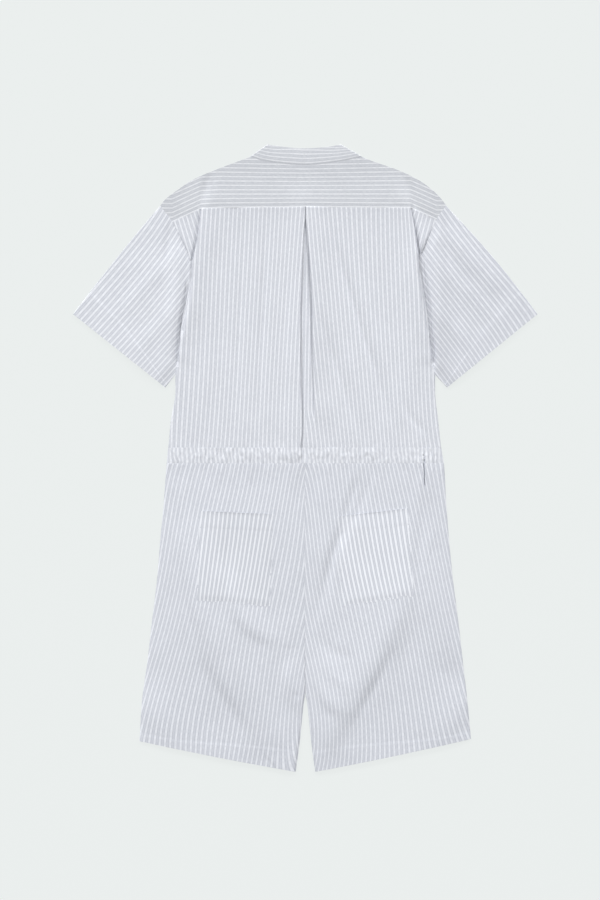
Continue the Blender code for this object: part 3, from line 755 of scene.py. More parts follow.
@dataclass(frozen=True)
class StripedCotton:
    """Yarn-dyed cotton: white stripes on a pale blue-grey ground with a paler middle."""

    name: str = "striped_cotton"
    slot: str = "striped_cotton_shell"
    white: Colour = (0.78, 0.799, 0.842)
    ground: Colour = (0.541, 0.562, 0.614)
    middle: Colour = (0.616, 0.636, 0.686)
    mean: Colour = (0.649, 0.669, 0.714)
    # Colour factor for the whole piece: painted light and shade, which makes the same cloth lighter or
    # darker where light falls differently.
    light_and_shade_tint: Colour = (0.997, 0.997, 0.999)
    white_share: float = 0.38
    stripe_blur: float = 0.035
    middle_half: float = 0.05
    middle_reach: float = 0.11
    dashes: float = 0.75
    dashes_across: float = 1.6
    dashes_along: float = 190.0
    dash_start: float = 0.4
    dash_full: float = 0.72
    thread: float = 0.00055
    roughness: float = 0.88
    specular: float = 0.25
    sheen: float = 0.12
    sheen_roughness: float = 0.45
    waver: float = 0.1
    waver_scale: float = 55.0
    blotch: float = 0.035
    blotch_scale: float = 28.0
    blotch_weight: float = 0.65
    fleck_scale: float = 700.0
    fleck_relief: float = 1.5
    bump: float = 0.25

    def cloth(self) -> Cloth:
        """The finish with its slot."""
        return Cloth(self.material(), self.slot)

    def material(self) -> bpy.types.Material:
        """Node material on the piece's own UV map, whose U runs across the stripes.

        Returns:
            The material.
        """
        material = bpy.data.materials.new(self.name)
        material.use_nodes = True
        tree = material.node_tree
        shader = tree.nodes["Principled BSDF"]
        shader.inputs["Roughness"].default_value = self.roughness
        shader.inputs["Sheen Weight"].default_value = self.sheen
        shader.inputs["Sheen Roughness"].default_value = self.sheen_roughness
        shader.inputs["Specular IOR Level"].default_value = self.specular
        graph = Graph(tree)
        uv = graph.node("ShaderNodeUVMap", uv_map="cut").outputs["UV"]
        split = graph.node("ShaderNodeSeparateXYZ")
        tree.links.new(uv, split.inputs[0])
        across, lengthwise = split.outputs["X"], split.outputs["Y"]
        drift = graph.noise(uv, self.waver_scale, 2.0)
        shift = graph.math("MULTIPLY", graph.math("SUBTRACT", drift, 0.5), self.waver)
        number = graph.math("ADD", graph.math("DIVIDE", across, STRIPE_PITCH), shift)
        ramp = graph.node("ShaderNodeValToRGB")
        self._fill(ramp.color_ramp)
        tree.links.new(graph.math("FRACT", number), ramp.inputs["Fac"])
        stripes = self._dashed(graph, number, lengthwise, ramp.outputs["Color"])
        flecks = graph.noise(uv, self.fleck_scale, 2.0)
        tinted = self._tinted(graph, uv, flecks, stripes)
        tree.links.new(tinted, shader.inputs["Base Color"])
        turn = 2 * math.pi / self.thread
        warp = graph.math("SINE", graph.math("MULTIPLY", across, turn))
        weft = graph.math("SINE", graph.math("MULTIPLY", lengthwise, turn))
        relief = graph.math("MULTIPLY", flecks, self.fleck_relief)
        weave = graph.math("ADD", graph.math("MULTIPLY", warp, weft), relief)
        tree.links.new(graph.bump(weave, self.bump), shader.inputs["Normal"])
        return material

    def _tinted(self, graph: "Graph", uv: Socket, flecks: Socket, stripes: Socket) -> Socket:
        """Tint the stripes with uneven tone in blotches and flecks, and with the piece's tint, which is
        painted light and shade.

        Args:
            graph: Where the nodes go.
            uv: Place on the cut cloth.
            flecks: Height of the fine flecks.
            stripes: Colour of the stripes.

        Returns:
            The tinted colour.
        """
        blotches = graph.math("MULTIPLY", graph.noise(uv, self.blotch_scale, 4.0), self.blotch_weight)
        fine = graph.math("MULTIPLY", flecks, 1 - self.blotch_weight)
        grain = graph.math("ADD", blotches, fine)
        level = graph.math("ADD", graph.math("MULTIPLY", grain, 2 * self.blotch), 1 - self.blotch)
        # Grain times the piece's tint; the tint is painted light and shade.
        shade = graph.node("ShaderNodeCombineColor")
        for socket, part in zip(shade.inputs, self.light_and_shade_tint):
            graph.tree.links.new(graph.math("MULTIPLY", level, part), socket)
        light_and_shade_tint = graph.node("ShaderNodeMix", data_type="RGBA", blend_type="MULTIPLY")
        light_and_shade_tint.inputs["Factor"].default_value = 1.0
        graph.tree.links.new(stripes, light_and_shade_tint.inputs["A"])
        graph.tree.links.new(shade.outputs["Color"], light_and_shade_tint.inputs["B"])
        return light_and_shade_tint.outputs["Result"]

    def _dashed(self, graph: "Graph", number: Socket, lengthwise: Socket, stripes: Socket) -> Socket:
        """Let the stripes fade a little here and there along their length.

        Args:
            graph: Where the nodes go.
            number: Stripe number.
            lengthwise: Place along the stripe.
            stripes: Colour of the stripes.

        Returns:
            The faded colour.
        """
        place = graph.node("ShaderNodeCombineXYZ")
        links = graph.tree.links
        links.new(graph.math("MULTIPLY", number, self.dashes_across), place.inputs["X"])
        links.new(graph.math("MULTIPLY", lengthwise, self.dashes_along), place.inputs["Y"])
        fade = graph.node("ShaderNodeMapRange")
        fade.inputs["From Min"].default_value = self.dash_start
        fade.inputs["From Max"].default_value = self.dash_full
        fade.inputs["To Max"].default_value = self.dashes
        links.new(graph.noise(place.outputs[0], 1.0, 2.0), fade.inputs["Value"])
        blend = graph.node("ShaderNodeMix", data_type="RGBA")
        links.new(fade.outputs["Result"], blend.inputs["Factor"])
        links.new(stripes, blend.inputs["A"])
        blend.inputs["B"].default_value = (*self.mean, 1.0)
        return blend.outputs["Result"]

    def _fill(self, ramp: bpy.types.ColorRamp) -> None:
        """Set the stops of one stripe, white at both ends and alike on both sides."""
        half = self.white_share / 2
        side = [
            (half - self.stripe_blur, self.white),
            (half + self.stripe_blur, self.ground),
            (0.5 - self.middle_reach, self.ground),
            (0.5 - self.middle_half, self.middle),
        ]
        for place, colour in side + [(1 - place, colour) for place, colour in reversed(side)]:
            ramp.elements.new(place).color = (*colour, 1.0)
        for end in (ramp.elements[0], ramp.elements[-1]):
            end.color = (*self.white, 1.0)


class Graph:
    """Short ways to add shader nodes to a tree."""

    def __init__(self, tree: bpy.types.NodeTree) -> None:
        """Keep the tree."""
        self.tree = tree

    def node(self, kind: str, **settings: object) -> bpy.types.Node:
        """Add a node with settings."""
        node = self.tree.nodes.new(kind)
        for name, value in settings.items():
            setattr(node, name, value)
        return node

    def math(self, operation: str, first: object, second: object = None) -> Socket:
        """Add a Math node.

        Args:
            operation: What it does.
            first: A number or a socket.
            second: A number, a socket or nothing.

        Returns:
            Its output.
        """
        node = self.node("ShaderNodeMath", operation=operation)
        for socket, value in zip(node.inputs, (first, second)):
            if isinstance(value, bpy.types.NodeSocket):
                self.tree.links.new(value, socket)
            elif value is not None:
                socket.default_value = value
        return node.outputs[0]

    def noise(self, vector: Socket, scale: float, detail: float) -> Socket:
        """Add a noise texture.

        Args:
            vector: Where it is read.
            scale: How fine it is.
            detail: How many finer layers it has.

        Returns:
            Its height.
        """
        node = self.node("ShaderNodeTexNoise")
        node.inputs["Scale"].default_value = scale
        node.inputs["Detail"].default_value = detail
        self.tree.links.new(vector, node.inputs["Vector"])
        return node.outputs["Fac"]

    def bump(self, height: Socket, strength: float) -> Socket:
        """Add a Bump node.

        Args:
            height: Height of the relief.
            strength: How much of it counts.

        Returns:
            Its normal.
        """
        node = self.node("ShaderNodeBump")
        node.inputs["Strength"].default_value = strength
        node.inputs["Distance"].default_value = BUMP_DISTANCE
        self.tree.links.new(height, node.inputs["Height"])
        return node.outputs["Normal"]


@dataclass(frozen=True)
class SewingThread:
    """Matt pale cotton thread."""

    name: str = "sewing_thread"
    colour: Colour = (0.65, 0.67, 0.71)
    shaded: float = 0.9
    roughness: float = 0.7
    fibre: float = 4000.0
    bump: float = 0.4

    def material(self) -> bpy.types.Material:
        """Node material with the fine fibre of twisted cotton."""
        material = bpy.data.materials.new(self.name)
        material.use_nodes = True
        shader = material.node_tree.nodes["Principled BSDF"]
        shader.inputs["Roughness"].default_value = self.roughness
        graph = Graph(material.node_tree)
        place = graph.node("ShaderNodeTexCoord").outputs["Object"]
        fibres = graph.noise(place, self.fibre, 2.0)
        ramp = graph.node("ShaderNodeValToRGB")
        ramp.color_ramp.elements[0].color = (*(self.shaded * part for part in self.colour), 1.0)
        ramp.color_ramp.elements[1].color = (*self.colour, 1.0)
        graph.tree.links.new(fibres, ramp.inputs["Fac"])
        graph.tree.links.new(ramp.outputs["Color"], shader.inputs["Base Color"])
        graph.tree.links.new(graph.bump(fibres, self.bump), shader.inputs["Normal"])
        return material


@dataclass(frozen=True)
class StudioFloor:
    """Pale paper, lit almost without shadow."""

    name: str = "studio_paper"
    colour: Colour = (0.823, 0.855, 0.847)
    own_light: float = 0.94

    def material(self) -> bpy.types.Material:
        """Node material that gives most of its light itself."""
        material = bpy.data.materials.new(self.name)
        material.use_nodes = True
        shader = material.node_tree.nodes["Principled BSDF"]
        lit = 1 - self.own_light
        shader.inputs["Base Color"].default_value = (*(lit * part for part in self.colour), 1.0)
        shader.inputs["Roughness"].default_value = 1.0
        shader.inputs["Specular IOR Level"].default_value = 0.0
        shader.inputs["Emission Color"].default_value = (*self.colour, 1.0)
        shader.inputs["Emission Strength"].default_value = self.own_light
        return material


# The yoke's narrower white stripes are its own; its darker tint is painted shade.
YOKE_COTTON = StripedCotton(name="yoke_cotton", white_share=0.34, light_and_shade_tint=(0.88, 0.88, 0.87))
# The right sleeve is the same cloth made darker: painted shade.
SHADED_RIGHT_SLEEVE_COTTON = StripedCotton(name="sleeve_cotton", light_and_shade_tint=(0.947, 0.947, 0.952))
# The legs are the same cloth made darker: painted shade.
SHADED_LEG_COTTON = StripedCotton(name="leg_cotton_painted_shade", light_and_shade_tint=(0.957, 0.959, 0.967))
# The collar band's stripes are its own; its darker tint is painted shade.
BAND_COTTON = StripedCotton(
    name="band_cotton", slot="striped_cotton_band", white_share=0.36, light_and_shade_tint=(0.92, 0.92, 0.91)
)
CASING_COTTON = StripedCotton(name="casing_cotton", slot="gathered_casing", white_share=0.48)
POCKET_COTTON = StripedCotton(
    slot="pocket_cotton",
    white=(0.805, 0.824, 0.866),
    ground=(0.524, 0.546, 0.6),
    white_share=0.43,
    dashes=0.3,
)
# The same pocket cloth, painted darker on the left pocket (painted shade) and lighter on the right one
# (painted light).
POCKET_LIGHT_AND_SHADE = {Side.LEFT: (0.966, 0.967, 0.969), Side.RIGHT: (1.006, 1.007, 1.011)}


# --- sewing ---


@dataclass(frozen=True)
class Cut:
    """Flat size of a piece of cloth: width, length and net area of one layer."""

    width: float
    length: float
    area: float


class Tailor:
    """Makes pieces of cloth and seams, and joins them to the frame."""

    def __init__(self) -> None:
        """Prepare the cloths and the list of shells."""
        self.shell = StripedCotton().cloth()
        self.yoke = YOKE_COTTON.cloth()
        # The right sleeve gets the darker copy of the cloth, which is painted shade.
        self.sleeve = {Side.LEFT: self.shell, Side.RIGHT: SHADED_RIGHT_SLEEVE_COTTON.cloth()}
        self.leg = SHADED_LEG_COTTON.cloth()
        self.band = BAND_COTTON.cloth()
        self.casing = CASING_COTTON.cloth()
        self.pocket = {}
        # Each pocket gets its own copy of the cloth with its painted light and shade.
        for side, light_and_shade_tint in POCKET_LIGHT_AND_SHADE.items():
            cotton = replace(POCKET_COTTON, name=f"pocket_cotton_{side.word}", light_and_shade_tint=light_and_shade_tint)
            self.pocket[side] = cotton.cloth()
        self.thread = SewingThread().material()
        self.shells: list[bpy.types.Object] = []

    def sew(
        self,
        node: str,
        points: Array,
        cut_map: Array,
        cloth: Cloth,
        cut: Cut,
        rests_on: Sequence[str],
        wall: float = WALL,
        ring: bool = False,
    ) -> None:
        """Make one piece of cloth from a grid of points, and put it in its node's place.

        Args:
            node: Name of the solid that the piece stands for.
            points: Rows by columns of points.
            cut_map: Rows by columns of places on the cut cloth.
            cloth: Its finish and slot.
            cut: Flat size of the piece; not used.
            rests_on: Names of what it lies on; not used.
            wall: Thickness of the cloth.
            ring: True for a tube, whose last column meets the first.
        """
        points, cut_map = crisp(points), crisp(cut_map)
        rows, columns = points.shape[:2]
        grid = bmesh.new()
        bmesh.ops.create_grid(grid, x_segments=columns - 1, y_segments=rows - 1, size=1.0)
        mesh = bpy.data.meshes.new(f"{node}_cloth")
        grid.to_mesh(mesh)
        grid.free()
        mesh.vertices.foreach_set("co", points.reshape(-1))
        corners = np.empty(len(mesh.loops), dtype=np.int32)
        mesh.loops.foreach_get("vertex_index", corners)
        layer = mesh.uv_layers.new(name="cut")
        layer.uv.foreach_set("vector", cut_map.reshape(-1, 2)[corners].astype(np.float32).ravel())
        grid = bmesh.new()
        grid.from_mesh(mesh)
        if ring:
            bmesh.ops.remove_doubles(grid, verts=grid.verts, dist=TINY)
        bmesh.ops.recalc_face_normals(grid, faces=grid.faces)
        grid.to_mesh(mesh)
        grid.free()
        piece = bpy.data.objects.new(f"{node}_cloth", mesh)
        bpy.context.scene.collection.objects.link(piece)
        mesh.materials.append(cloth.material)
        mesh.shade_smooth()
        thicken = piece.modifiers.new("wall", "SOLIDIFY")
        thicken.thickness = wall
        thicken.offset = 0.0
        thicken.use_even_offset = False
        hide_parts(node)
        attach(piece, BODY)
        self.shells.append(piece)
        LOG.info("%s: %d by %d points", piece.name, rows, columns)

    def sew_front(
        self,
        node: str,
        x: Array,
        y: Array,
        level: Array,
        cloth: Cloth,
        cut: Cut,
    ) -> None:
        """Make one plain piece of the front, which lies on the floor.

        Args:
            node: Name of the solid that the piece stands for.
            x: Places across, in rows and columns.
            y: Places up the garment.
            level: Heights of the middle of the cloth.
            cloth: Its finish and slot.
            cut: Flat size of the piece.
        """
        points = np.stack([x, y, level], axis=-1)
        cut_map = cloth_map(FRONT_STRIPES.at(x, y), y)
        self.sew(node, points, cut_map, cloth, cut, ["studio_floor"])


def crisp(grid: Array) -> Array:
    """Add rows and columns close to the edges of a grid, which keep its cut edges crisp."""
    for _ in range(2):
        first = mix(grid[:1], grid[1:2], EDGE_SHARE)
        last = mix(grid[-1:], grid[-2:-1], EDGE_SHARE)
        grid = np.concatenate([grid[:1], first, grid[1:-1], last, grid[-1:]]).swapaxes(0, 1)
    return grid


def cloth_map(numbers: Array, lengthwise: Array) -> Array:
    """Places on the cut cloth from stripe numbers and lengths along the stripes."""
    numbers, lengthwise = np.broadcast_arrays(numbers, lengthwise)
    return np.stack([numbers * STRIPE_PITCH, lengthwise], axis=-1)


def rolled(distance: Array, low: float, high: Array | float, reach: float = EDGE_ROLL) -> Array:
    """Height of cloth that turns over at an edge, at a distance in from it."""
    return mix(low, high, quarter(distance / reach))


# --- bodice ---


def s_fold(turn: float, depth: float, radius: float) -> Array:
    """Section of a fold from its upper run to its lower one.

    Args:
        turn: How far each bend turns, in radians.
        depth: Length of the run between the bends.
        radius: Radius of a bend that is turned right over.

    Returns:
        Array of how far each point lies past the fold's edge, and how far it has dropped.
    """
    turn = max(turn, FLAT_TURN)
    radius = math.pi * radius / turn
    start = -radius * math.sin(min(turn, math.pi / 2))
    angles = turn * even(FOLD_STEPS)
    upper = np.stack([start + radius * np.sin(angles), radius * (1 - np.cos(angles))], axis=1)
    across = upper[-1][0] + depth * math.cos(turn)
    drop = upper[-1][1] + depth * math.sin(turn)
    angles = angles[::-1]
    lower = np.stack(
        [
            across + radius * (math.sin(turn) - np.sin(angles)),
            drop + radius * (np.cos(angles) - math.cos(turn)),
        ],
        axis=1,
    )
    return np.concatenate([upper, lower])


@dataclass
class Bodice:
    """Back bodice with its inverted pleat and side folds, and the two flat fronts."""

    tailor: Tailor
    rows: int = 168
    middle: int = 74
    underlay: int = 14
    outside: int = 16
    edge_run: float = 0.001
    lift: dict[Side, float] = both(0.001, 0.002)
    lift_reach: float = 0.06
    lift_top: Fade = Fade(0.385, -0.13)
    lift_foot: Fade = Fade(0.03, 0.17)
    underlay_dip: dict[Side, float] = both(0.0, 0.001)
    dip_width: float = 0.003
    dip_top: Fade = Fade(0.4, -0.06)
    wedge_drop: float = 0.0014
    wedge_top: Fade = Fade(YOKE_LINE, -0.02)
    ditch: float = 0.0042
    ditch_wall: float = 0.003
    bank: dict[Side, float] = both(0.0007, 0.0022)
    bank_top: Fade = Fade(YOKE_LINE, -0.055)
    side_join: Fade = Fade(0.205, -0.03)
    swell: Ripple = Ripple(0.0005, 0.034, 2.4, 3.0)
    gather: Ripple = Ripple(0.00084, 0.006, 6.0, 7.0)
    gather_fade: float = 0.02
    gather_least: float = 0.15
    gather_rise: float = 0.01
    pucker: Ripple = Ripple(0.00012, 0.006, 3.0, 9.0)
    pucker_fade: float = 0.01
    seam_roll: float = 0.0003
    seam_roll_fade: float = 0.004
    puff: float = 0.0005
    puff_rise: float = 0.05
    puff_fade: float = 0.09
    front_rows: int = 120
    front_columns: int = 60
    front_lift: Ripple = Ripple(0.00022, 0.05, 2.0, 15.0)
    front_join: float = 0.03
    neck_share: float = 0.3
    armhole_share: float = 0.72
    shoulder_fade: float = 0.25
    creases: tuple[Crease, ...] = (
        crease(0.036, 0.405, 0.07, 0.27, 0.15, 0.045, 0.0045, -0.0019),
        crease(0.052, 0.4, 0.086, 0.27, 0.166, 0.06, 0.0085, 0.001),
        crease(0.012, 0.27, 0.052, 0.15, 0.088, 0.04, 0.0045, -0.0015),
        crease(0.026, 0.28, 0.066, 0.17, 0.104, 0.06, 0.0085, 0.0009),
        crease(-0.064, 0.405, -0.07, 0.22, -0.078, 0.04, 0.0045, -0.0015),
        crease(-0.052, 0.38, -0.056, 0.22, -0.06, 0.06, 0.007, 0.0008),
        crease(-0.1, 0.4, -0.108, 0.22, -0.118, 0.06, 0.005, -0.0011),
        crease(-0.03, 0.33, -0.034, 0.2, -0.036, 0.05, 0.005, -0.0009),
        crease(-0.15, 0.33, -0.158, 0.19, -0.166, 0.06, 0.011, 0.0008),
        crease(0.11, 0.18, 0.122, 0.11, 0.128, 0.035, 0.005, -0.0012),
        crease(0.158, 0.11, 0.172, 0.056, 0.205, 0.04, 0.006, -0.0009),
        crease(0.18, 0.33, 0.176, 0.2, 0.186, 0.1, 0.013, 0.0006),
    )

    def heights(self) -> Array:
        """Heights of the sections, beside the pleat."""
        top, foot = YOKE_LINE - LAP, WAIST_TOP
        shown = np.linspace(top - CLOSE, foot + CLOSE, self.rows)
        over, under = [YOKE_LINE, top + HIDDEN, top], [foot, foot - HIDDEN, foot - LAP]
        return np.concatenate([over, shown, under])

    def build(self) -> None:
        """Make the back and the fronts."""
        self._back()
        for side in Side:
            self._front(side)

    def _back(self) -> None:
        """Back bodice, in one piece."""
        rows, maps = [], []
        for y in self.heights():
            halves = {side: self._half(side, float(y)) for side in Side}
            (left, left_map), (right, right_map) = halves[Side.LEFT], halves[Side.RIGHT]
            rows.append(np.concatenate([left[::-1], right[1:]]))
            maps.append(np.concatenate([left_map[::-1], right_map[1:]]))
        points, cut_map = np.array(rows), np.array(maps)
        x, y = points[..., 0], points[..., 1]
        rise = creased(self.creases, x, y) + self.swell.at(x, y)
        above = y - WAIST_TOP
        near = np.exp(-above / self.gather_fade) * (self.gather_least + smooth(above / self.gather_rise))
        rise += near * self.gather.at(x, y)
        below = np.maximum(seam_height(x) - y, 0.0)
        rise += np.exp(-below / self.pucker_fade) * self.pucker.at(x, y)
        rise += seam_swell(x, y) + self.seam_roll * np.exp(-below / self.seam_roll_fade)
        clear = np.maximum(above, 0.0)
        rise += self.puff * smooth(clear / self.puff_rise) * np.exp(-clear / self.puff_fade)
        shown = smooth(1 + above / HIDDEN) * smooth(1 + (seam_height(x) - LAP - y) / HIDDEN)
        rise -= TUCKED * (1 - shown)
        points[..., 2] = np.maximum(points[..., 2] + rise, JOIN_LEVEL)
        self.tailor.sew(
            "bodice_back",
            points,
            cut_map,
            self.tailor.shell,
            Cut(0.51, 0.4, 0.1905),
            ["bodice_front_left_cloth", "bodice_front_right_cloth", "front_placket_cloth"],
        )

    def _half(self, side: Side, y: float) -> tuple[Array, Array]:
        """Half a section, from the pleat's axis to the side.

        Args:
            side: Which half.
            y: Height of the section beside the pleat.

        Returns:
            Points, and their places on the cut cloth.
        """
        sign, word = side.value, side.word
        outer_y = float(edge_height(side, y))
        table = ARMHOLE if outer_y >= UNDERARM else BODY_SIDE
        edge = sign * (float(column(table, word).at(outer_y)) - PLEAT_AXIS)
        fold_y = max(y, UNDERARM)
        turn = float(column(SIDE_FOLDS, "turn").at(fold_y))
        closed = float(smooth(turn / 90))
        if outer_y >= UNDERARM:
            fold_edge = sign * (float(column(SIDE_FOLDS, word).at(y)) - PLEAT_AXIS)
        else:
            fold_edge = edge - SIDE_INSET
        depth = float(column(SIDE_FOLDS, "depth").at(fold_y))
        side_fold = s_fold(math.radians(turn), depth, float(column(FOLD_RADII, "side").at(y)))
        pleat_turn = float(column(PLEATS, f"turn_{word}").at(y))
        pleat_depth = float(column(PLEATS, f"depth_{word}").at(y))
        radius = float(column(FOLD_RADII, f"pleat_{word}").at(y))
        pleat = s_fold(math.radians(pleat_turn), pleat_depth, radius)
        pleat_edge = sign * (float(column(PLEATS, word).at(y)) - PLEAT_AXIS) + WALL / 2
        fold_edge -= WALL / 2 * closed
        pleat_rise, side_rise = pleat[-1][1], side_fold[-1][1]

        inner_fold = pleat[::-1]
        under = even(self.underlay)[:-1] * (pleat_edge - inner_fold[0][0])
        start, stop = pleat_edge - pleat[0][0], fold_edge + side_fold[0][0]
        run = np.concatenate([[self.edge_run], even(self.middle)[1:-1], [1 - self.edge_run]])
        middle = mix(start, stop, run)
        last = fold_edge + side_fold[-1][0]
        outside = mix(last, edge - SEAM, even(self.outside)[1:])
        places = np.concatenate(
            [under, pleat_edge - inner_fold[:, 0], middle, fold_edge + side_fold[:, 0], outside]
        )
        high = pleat_rise * (1 - smooth((middle - start) / FOLD_REACH))
        high += side_rise * (1 - smooth((stop - middle) / FOLD_REACH))
        dip = self.underlay_dip[side] * float(smooth(pleat_turn / TURNED_OVER) * self.dip_top.at(y))
        rises = np.concatenate(
            [
                -dip * bell(under - pleat_edge, self.dip_width),
                pleat_rise - inner_fold[:, 1],
                high,
                side_rise - side_fold[:, 1],
                np.zeros(len(outside)),
            ]
        )
        lift = self.lift[side] * float(self.lift_top.at(y) * self.lift_foot.at(y))
        on_top = np.ones(len(places))
        fold_start = len(places) - len(outside) - len(side_fold)
        on_top[fold_start : -len(outside)] = 1 - side_fold[:, 1] / max(side_rise, TINY) * closed
        on_top[-len(outside) :] = 1 - closed
        rises += lift * smooth(1 - np.abs(stop - places) / self.lift_reach) * on_top
        beside = smooth((outside - fold_edge - self.ditch) / self.ditch_wall)
        low = 1 - on_top
        low[-len(outside) :] = 1 - beside
        low[:fold_start] = 0.0
        rises -= self.wedge_drop * closed * float(self.wedge_top.at(y)) * low
        rises[-len(outside) :] += self.bank[side] * closed * float(self.bank_top.at(y)) * beside
        level = BACK_LEVEL + rises
        edge_level = mix(BACK_LEVEL - CLOSE, JOIN_LEVEL, float(self.side_join.at(y)))
        level = np.minimum(level, rolled(edge - places, edge_level, level))

        x = PLEAT_AXIS + sign * places
        follow = smooth((y - SEAM_FADE) / (YOKE_LINE - SEAM_FADE))
        height = y + (seam_height(x) - YOKE_LINE) * follow
        out = np.clip((places - fold_edge) / max(edge - fold_edge, WALL), 0.0, 1.0)
        at_fold = y + (float(seam_height(PLEAT_AXIS + sign * fold_edge)) - YOKE_LINE) * follow
        height = np.where(places > fold_edge, mix(at_fold, outer_y, out), height)

        numbers = BODICE_STRIPES[side].at(x, height)
        self._fill_folds(numbers, x, height, side, turn, pleat_turn, len(under), len(pleat))
        return np.stack([x, height, level], axis=1), cloth_map(numbers, height)

    def _fill_folds(
        self,
        numbers: Array,
        x: Array,
        y: Array,
        side: Side,
        turn: float,
        pleat_turn: float,
        under: int,
        fold: int,
    ) -> None:
        """Carry the stripes through the hidden runs of the folds to the cloth beyond them.

        Args:
            numbers: Stripe numbers of the section, changed in place.
            x: Places across the section.
            y: Heights of the section's points.
            side: Which half it is.
            turn: How far the side fold turns, in degrees.
            pleat_turn: How far the pleat's edge turns, in degrees.
            under: How many points lie on the pleat's underlay.
            fold: How many points a fold has.
        """
        step = side.value * math.pi * FOLD_RADIUS / FOLD_STEPS / STRIPE_PITCH
        bend = np.arange(1, FOLD_STEPS + 2) * step
        half = fold - len(bend)
        beyond = UNDERLAY_STRIPES.at(x[: under + 1], y[: under + 1])
        share = float(smooth(pleat_turn / TURNED_OVER))
        inner = under + fold
        numbers[: under + 1] = mix(numbers[: under + 1], beyond, share)
        shown = numbers[inner] - bend[::-1]
        hidden = mix(numbers[under], shown[0], even(half)[:-1])
        numbers[under:inner] = mix(numbers[under:inner], np.concatenate([hidden, shown]), share)
        share = float(smooth(turn / TURNED_OVER))
        outer = len(numbers) - self.outside
        beyond = WEDGE_STRIPES[side].at(x[outer - 1 :], y[outer - 1 :])
        numbers[outer - 1 :] = mix(numbers[outer - 1 :], beyond, share)
        shown = numbers[outer - fold - 1] + bend
        hidden = mix(shown[-1], numbers[outer - 1], even(half)[1:])
        numbers[outer - fold : outer] = mix(
            numbers[outer - fold : outer], np.concatenate([shown, hidden]), share
        )

    def _front(self, side: Side) -> None:
        """One front, flat on the surface from the shoulder to the waist."""
        shares = even(self.front_columns)
        down = np.linspace(0.0, 1.0, self.front_rows)
        neck = edge_points(FRONT_NECK[:-1], side)
        opening_x = side.value * PLACKET_HALF
        opening = [(opening_x, neck[-1][1]), (opening_x, WAIST_TOP)]
        inner = two_runs(down, self.neck_share, neck, opening)
        armhole, seam = edge_points(ARMHOLE, side), edge_points(BODY_SIDE[:4], side)
        outer = two_runs(down, self.armhole_share, armhole, seam)
        plan = inner[:, None] + (outer - inner)[:, None] * shares[None, :, None]
        straight = inner[0] + (outer[0] - inner[0]) * shares[:, None]
        shoulder = along(edge_points(SHOULDER, side), shares)
        fade = (1 - smooth(down / self.shoulder_fade))[:, None, None]
        plan = plan + (shoulder - straight)[None] * fade
        x, y = plan[..., 0], plan[..., 1]
        lying = FRONT_LEVEL + self.front_lift.raised(x, y, side.value)
        joined = 1 - smooth(down[:, None] / self.front_join)
        level = mix(lying, SHOULDER_LEVEL - WALL, joined)
        self.tailor.sew_front(
            f"bodice_front_{side.word}",
            x,
            y,
            level,
            self.tailor.shell,
            Cut(0.23, 0.485, 0.0855),
        )


# --- yoke and collar ---


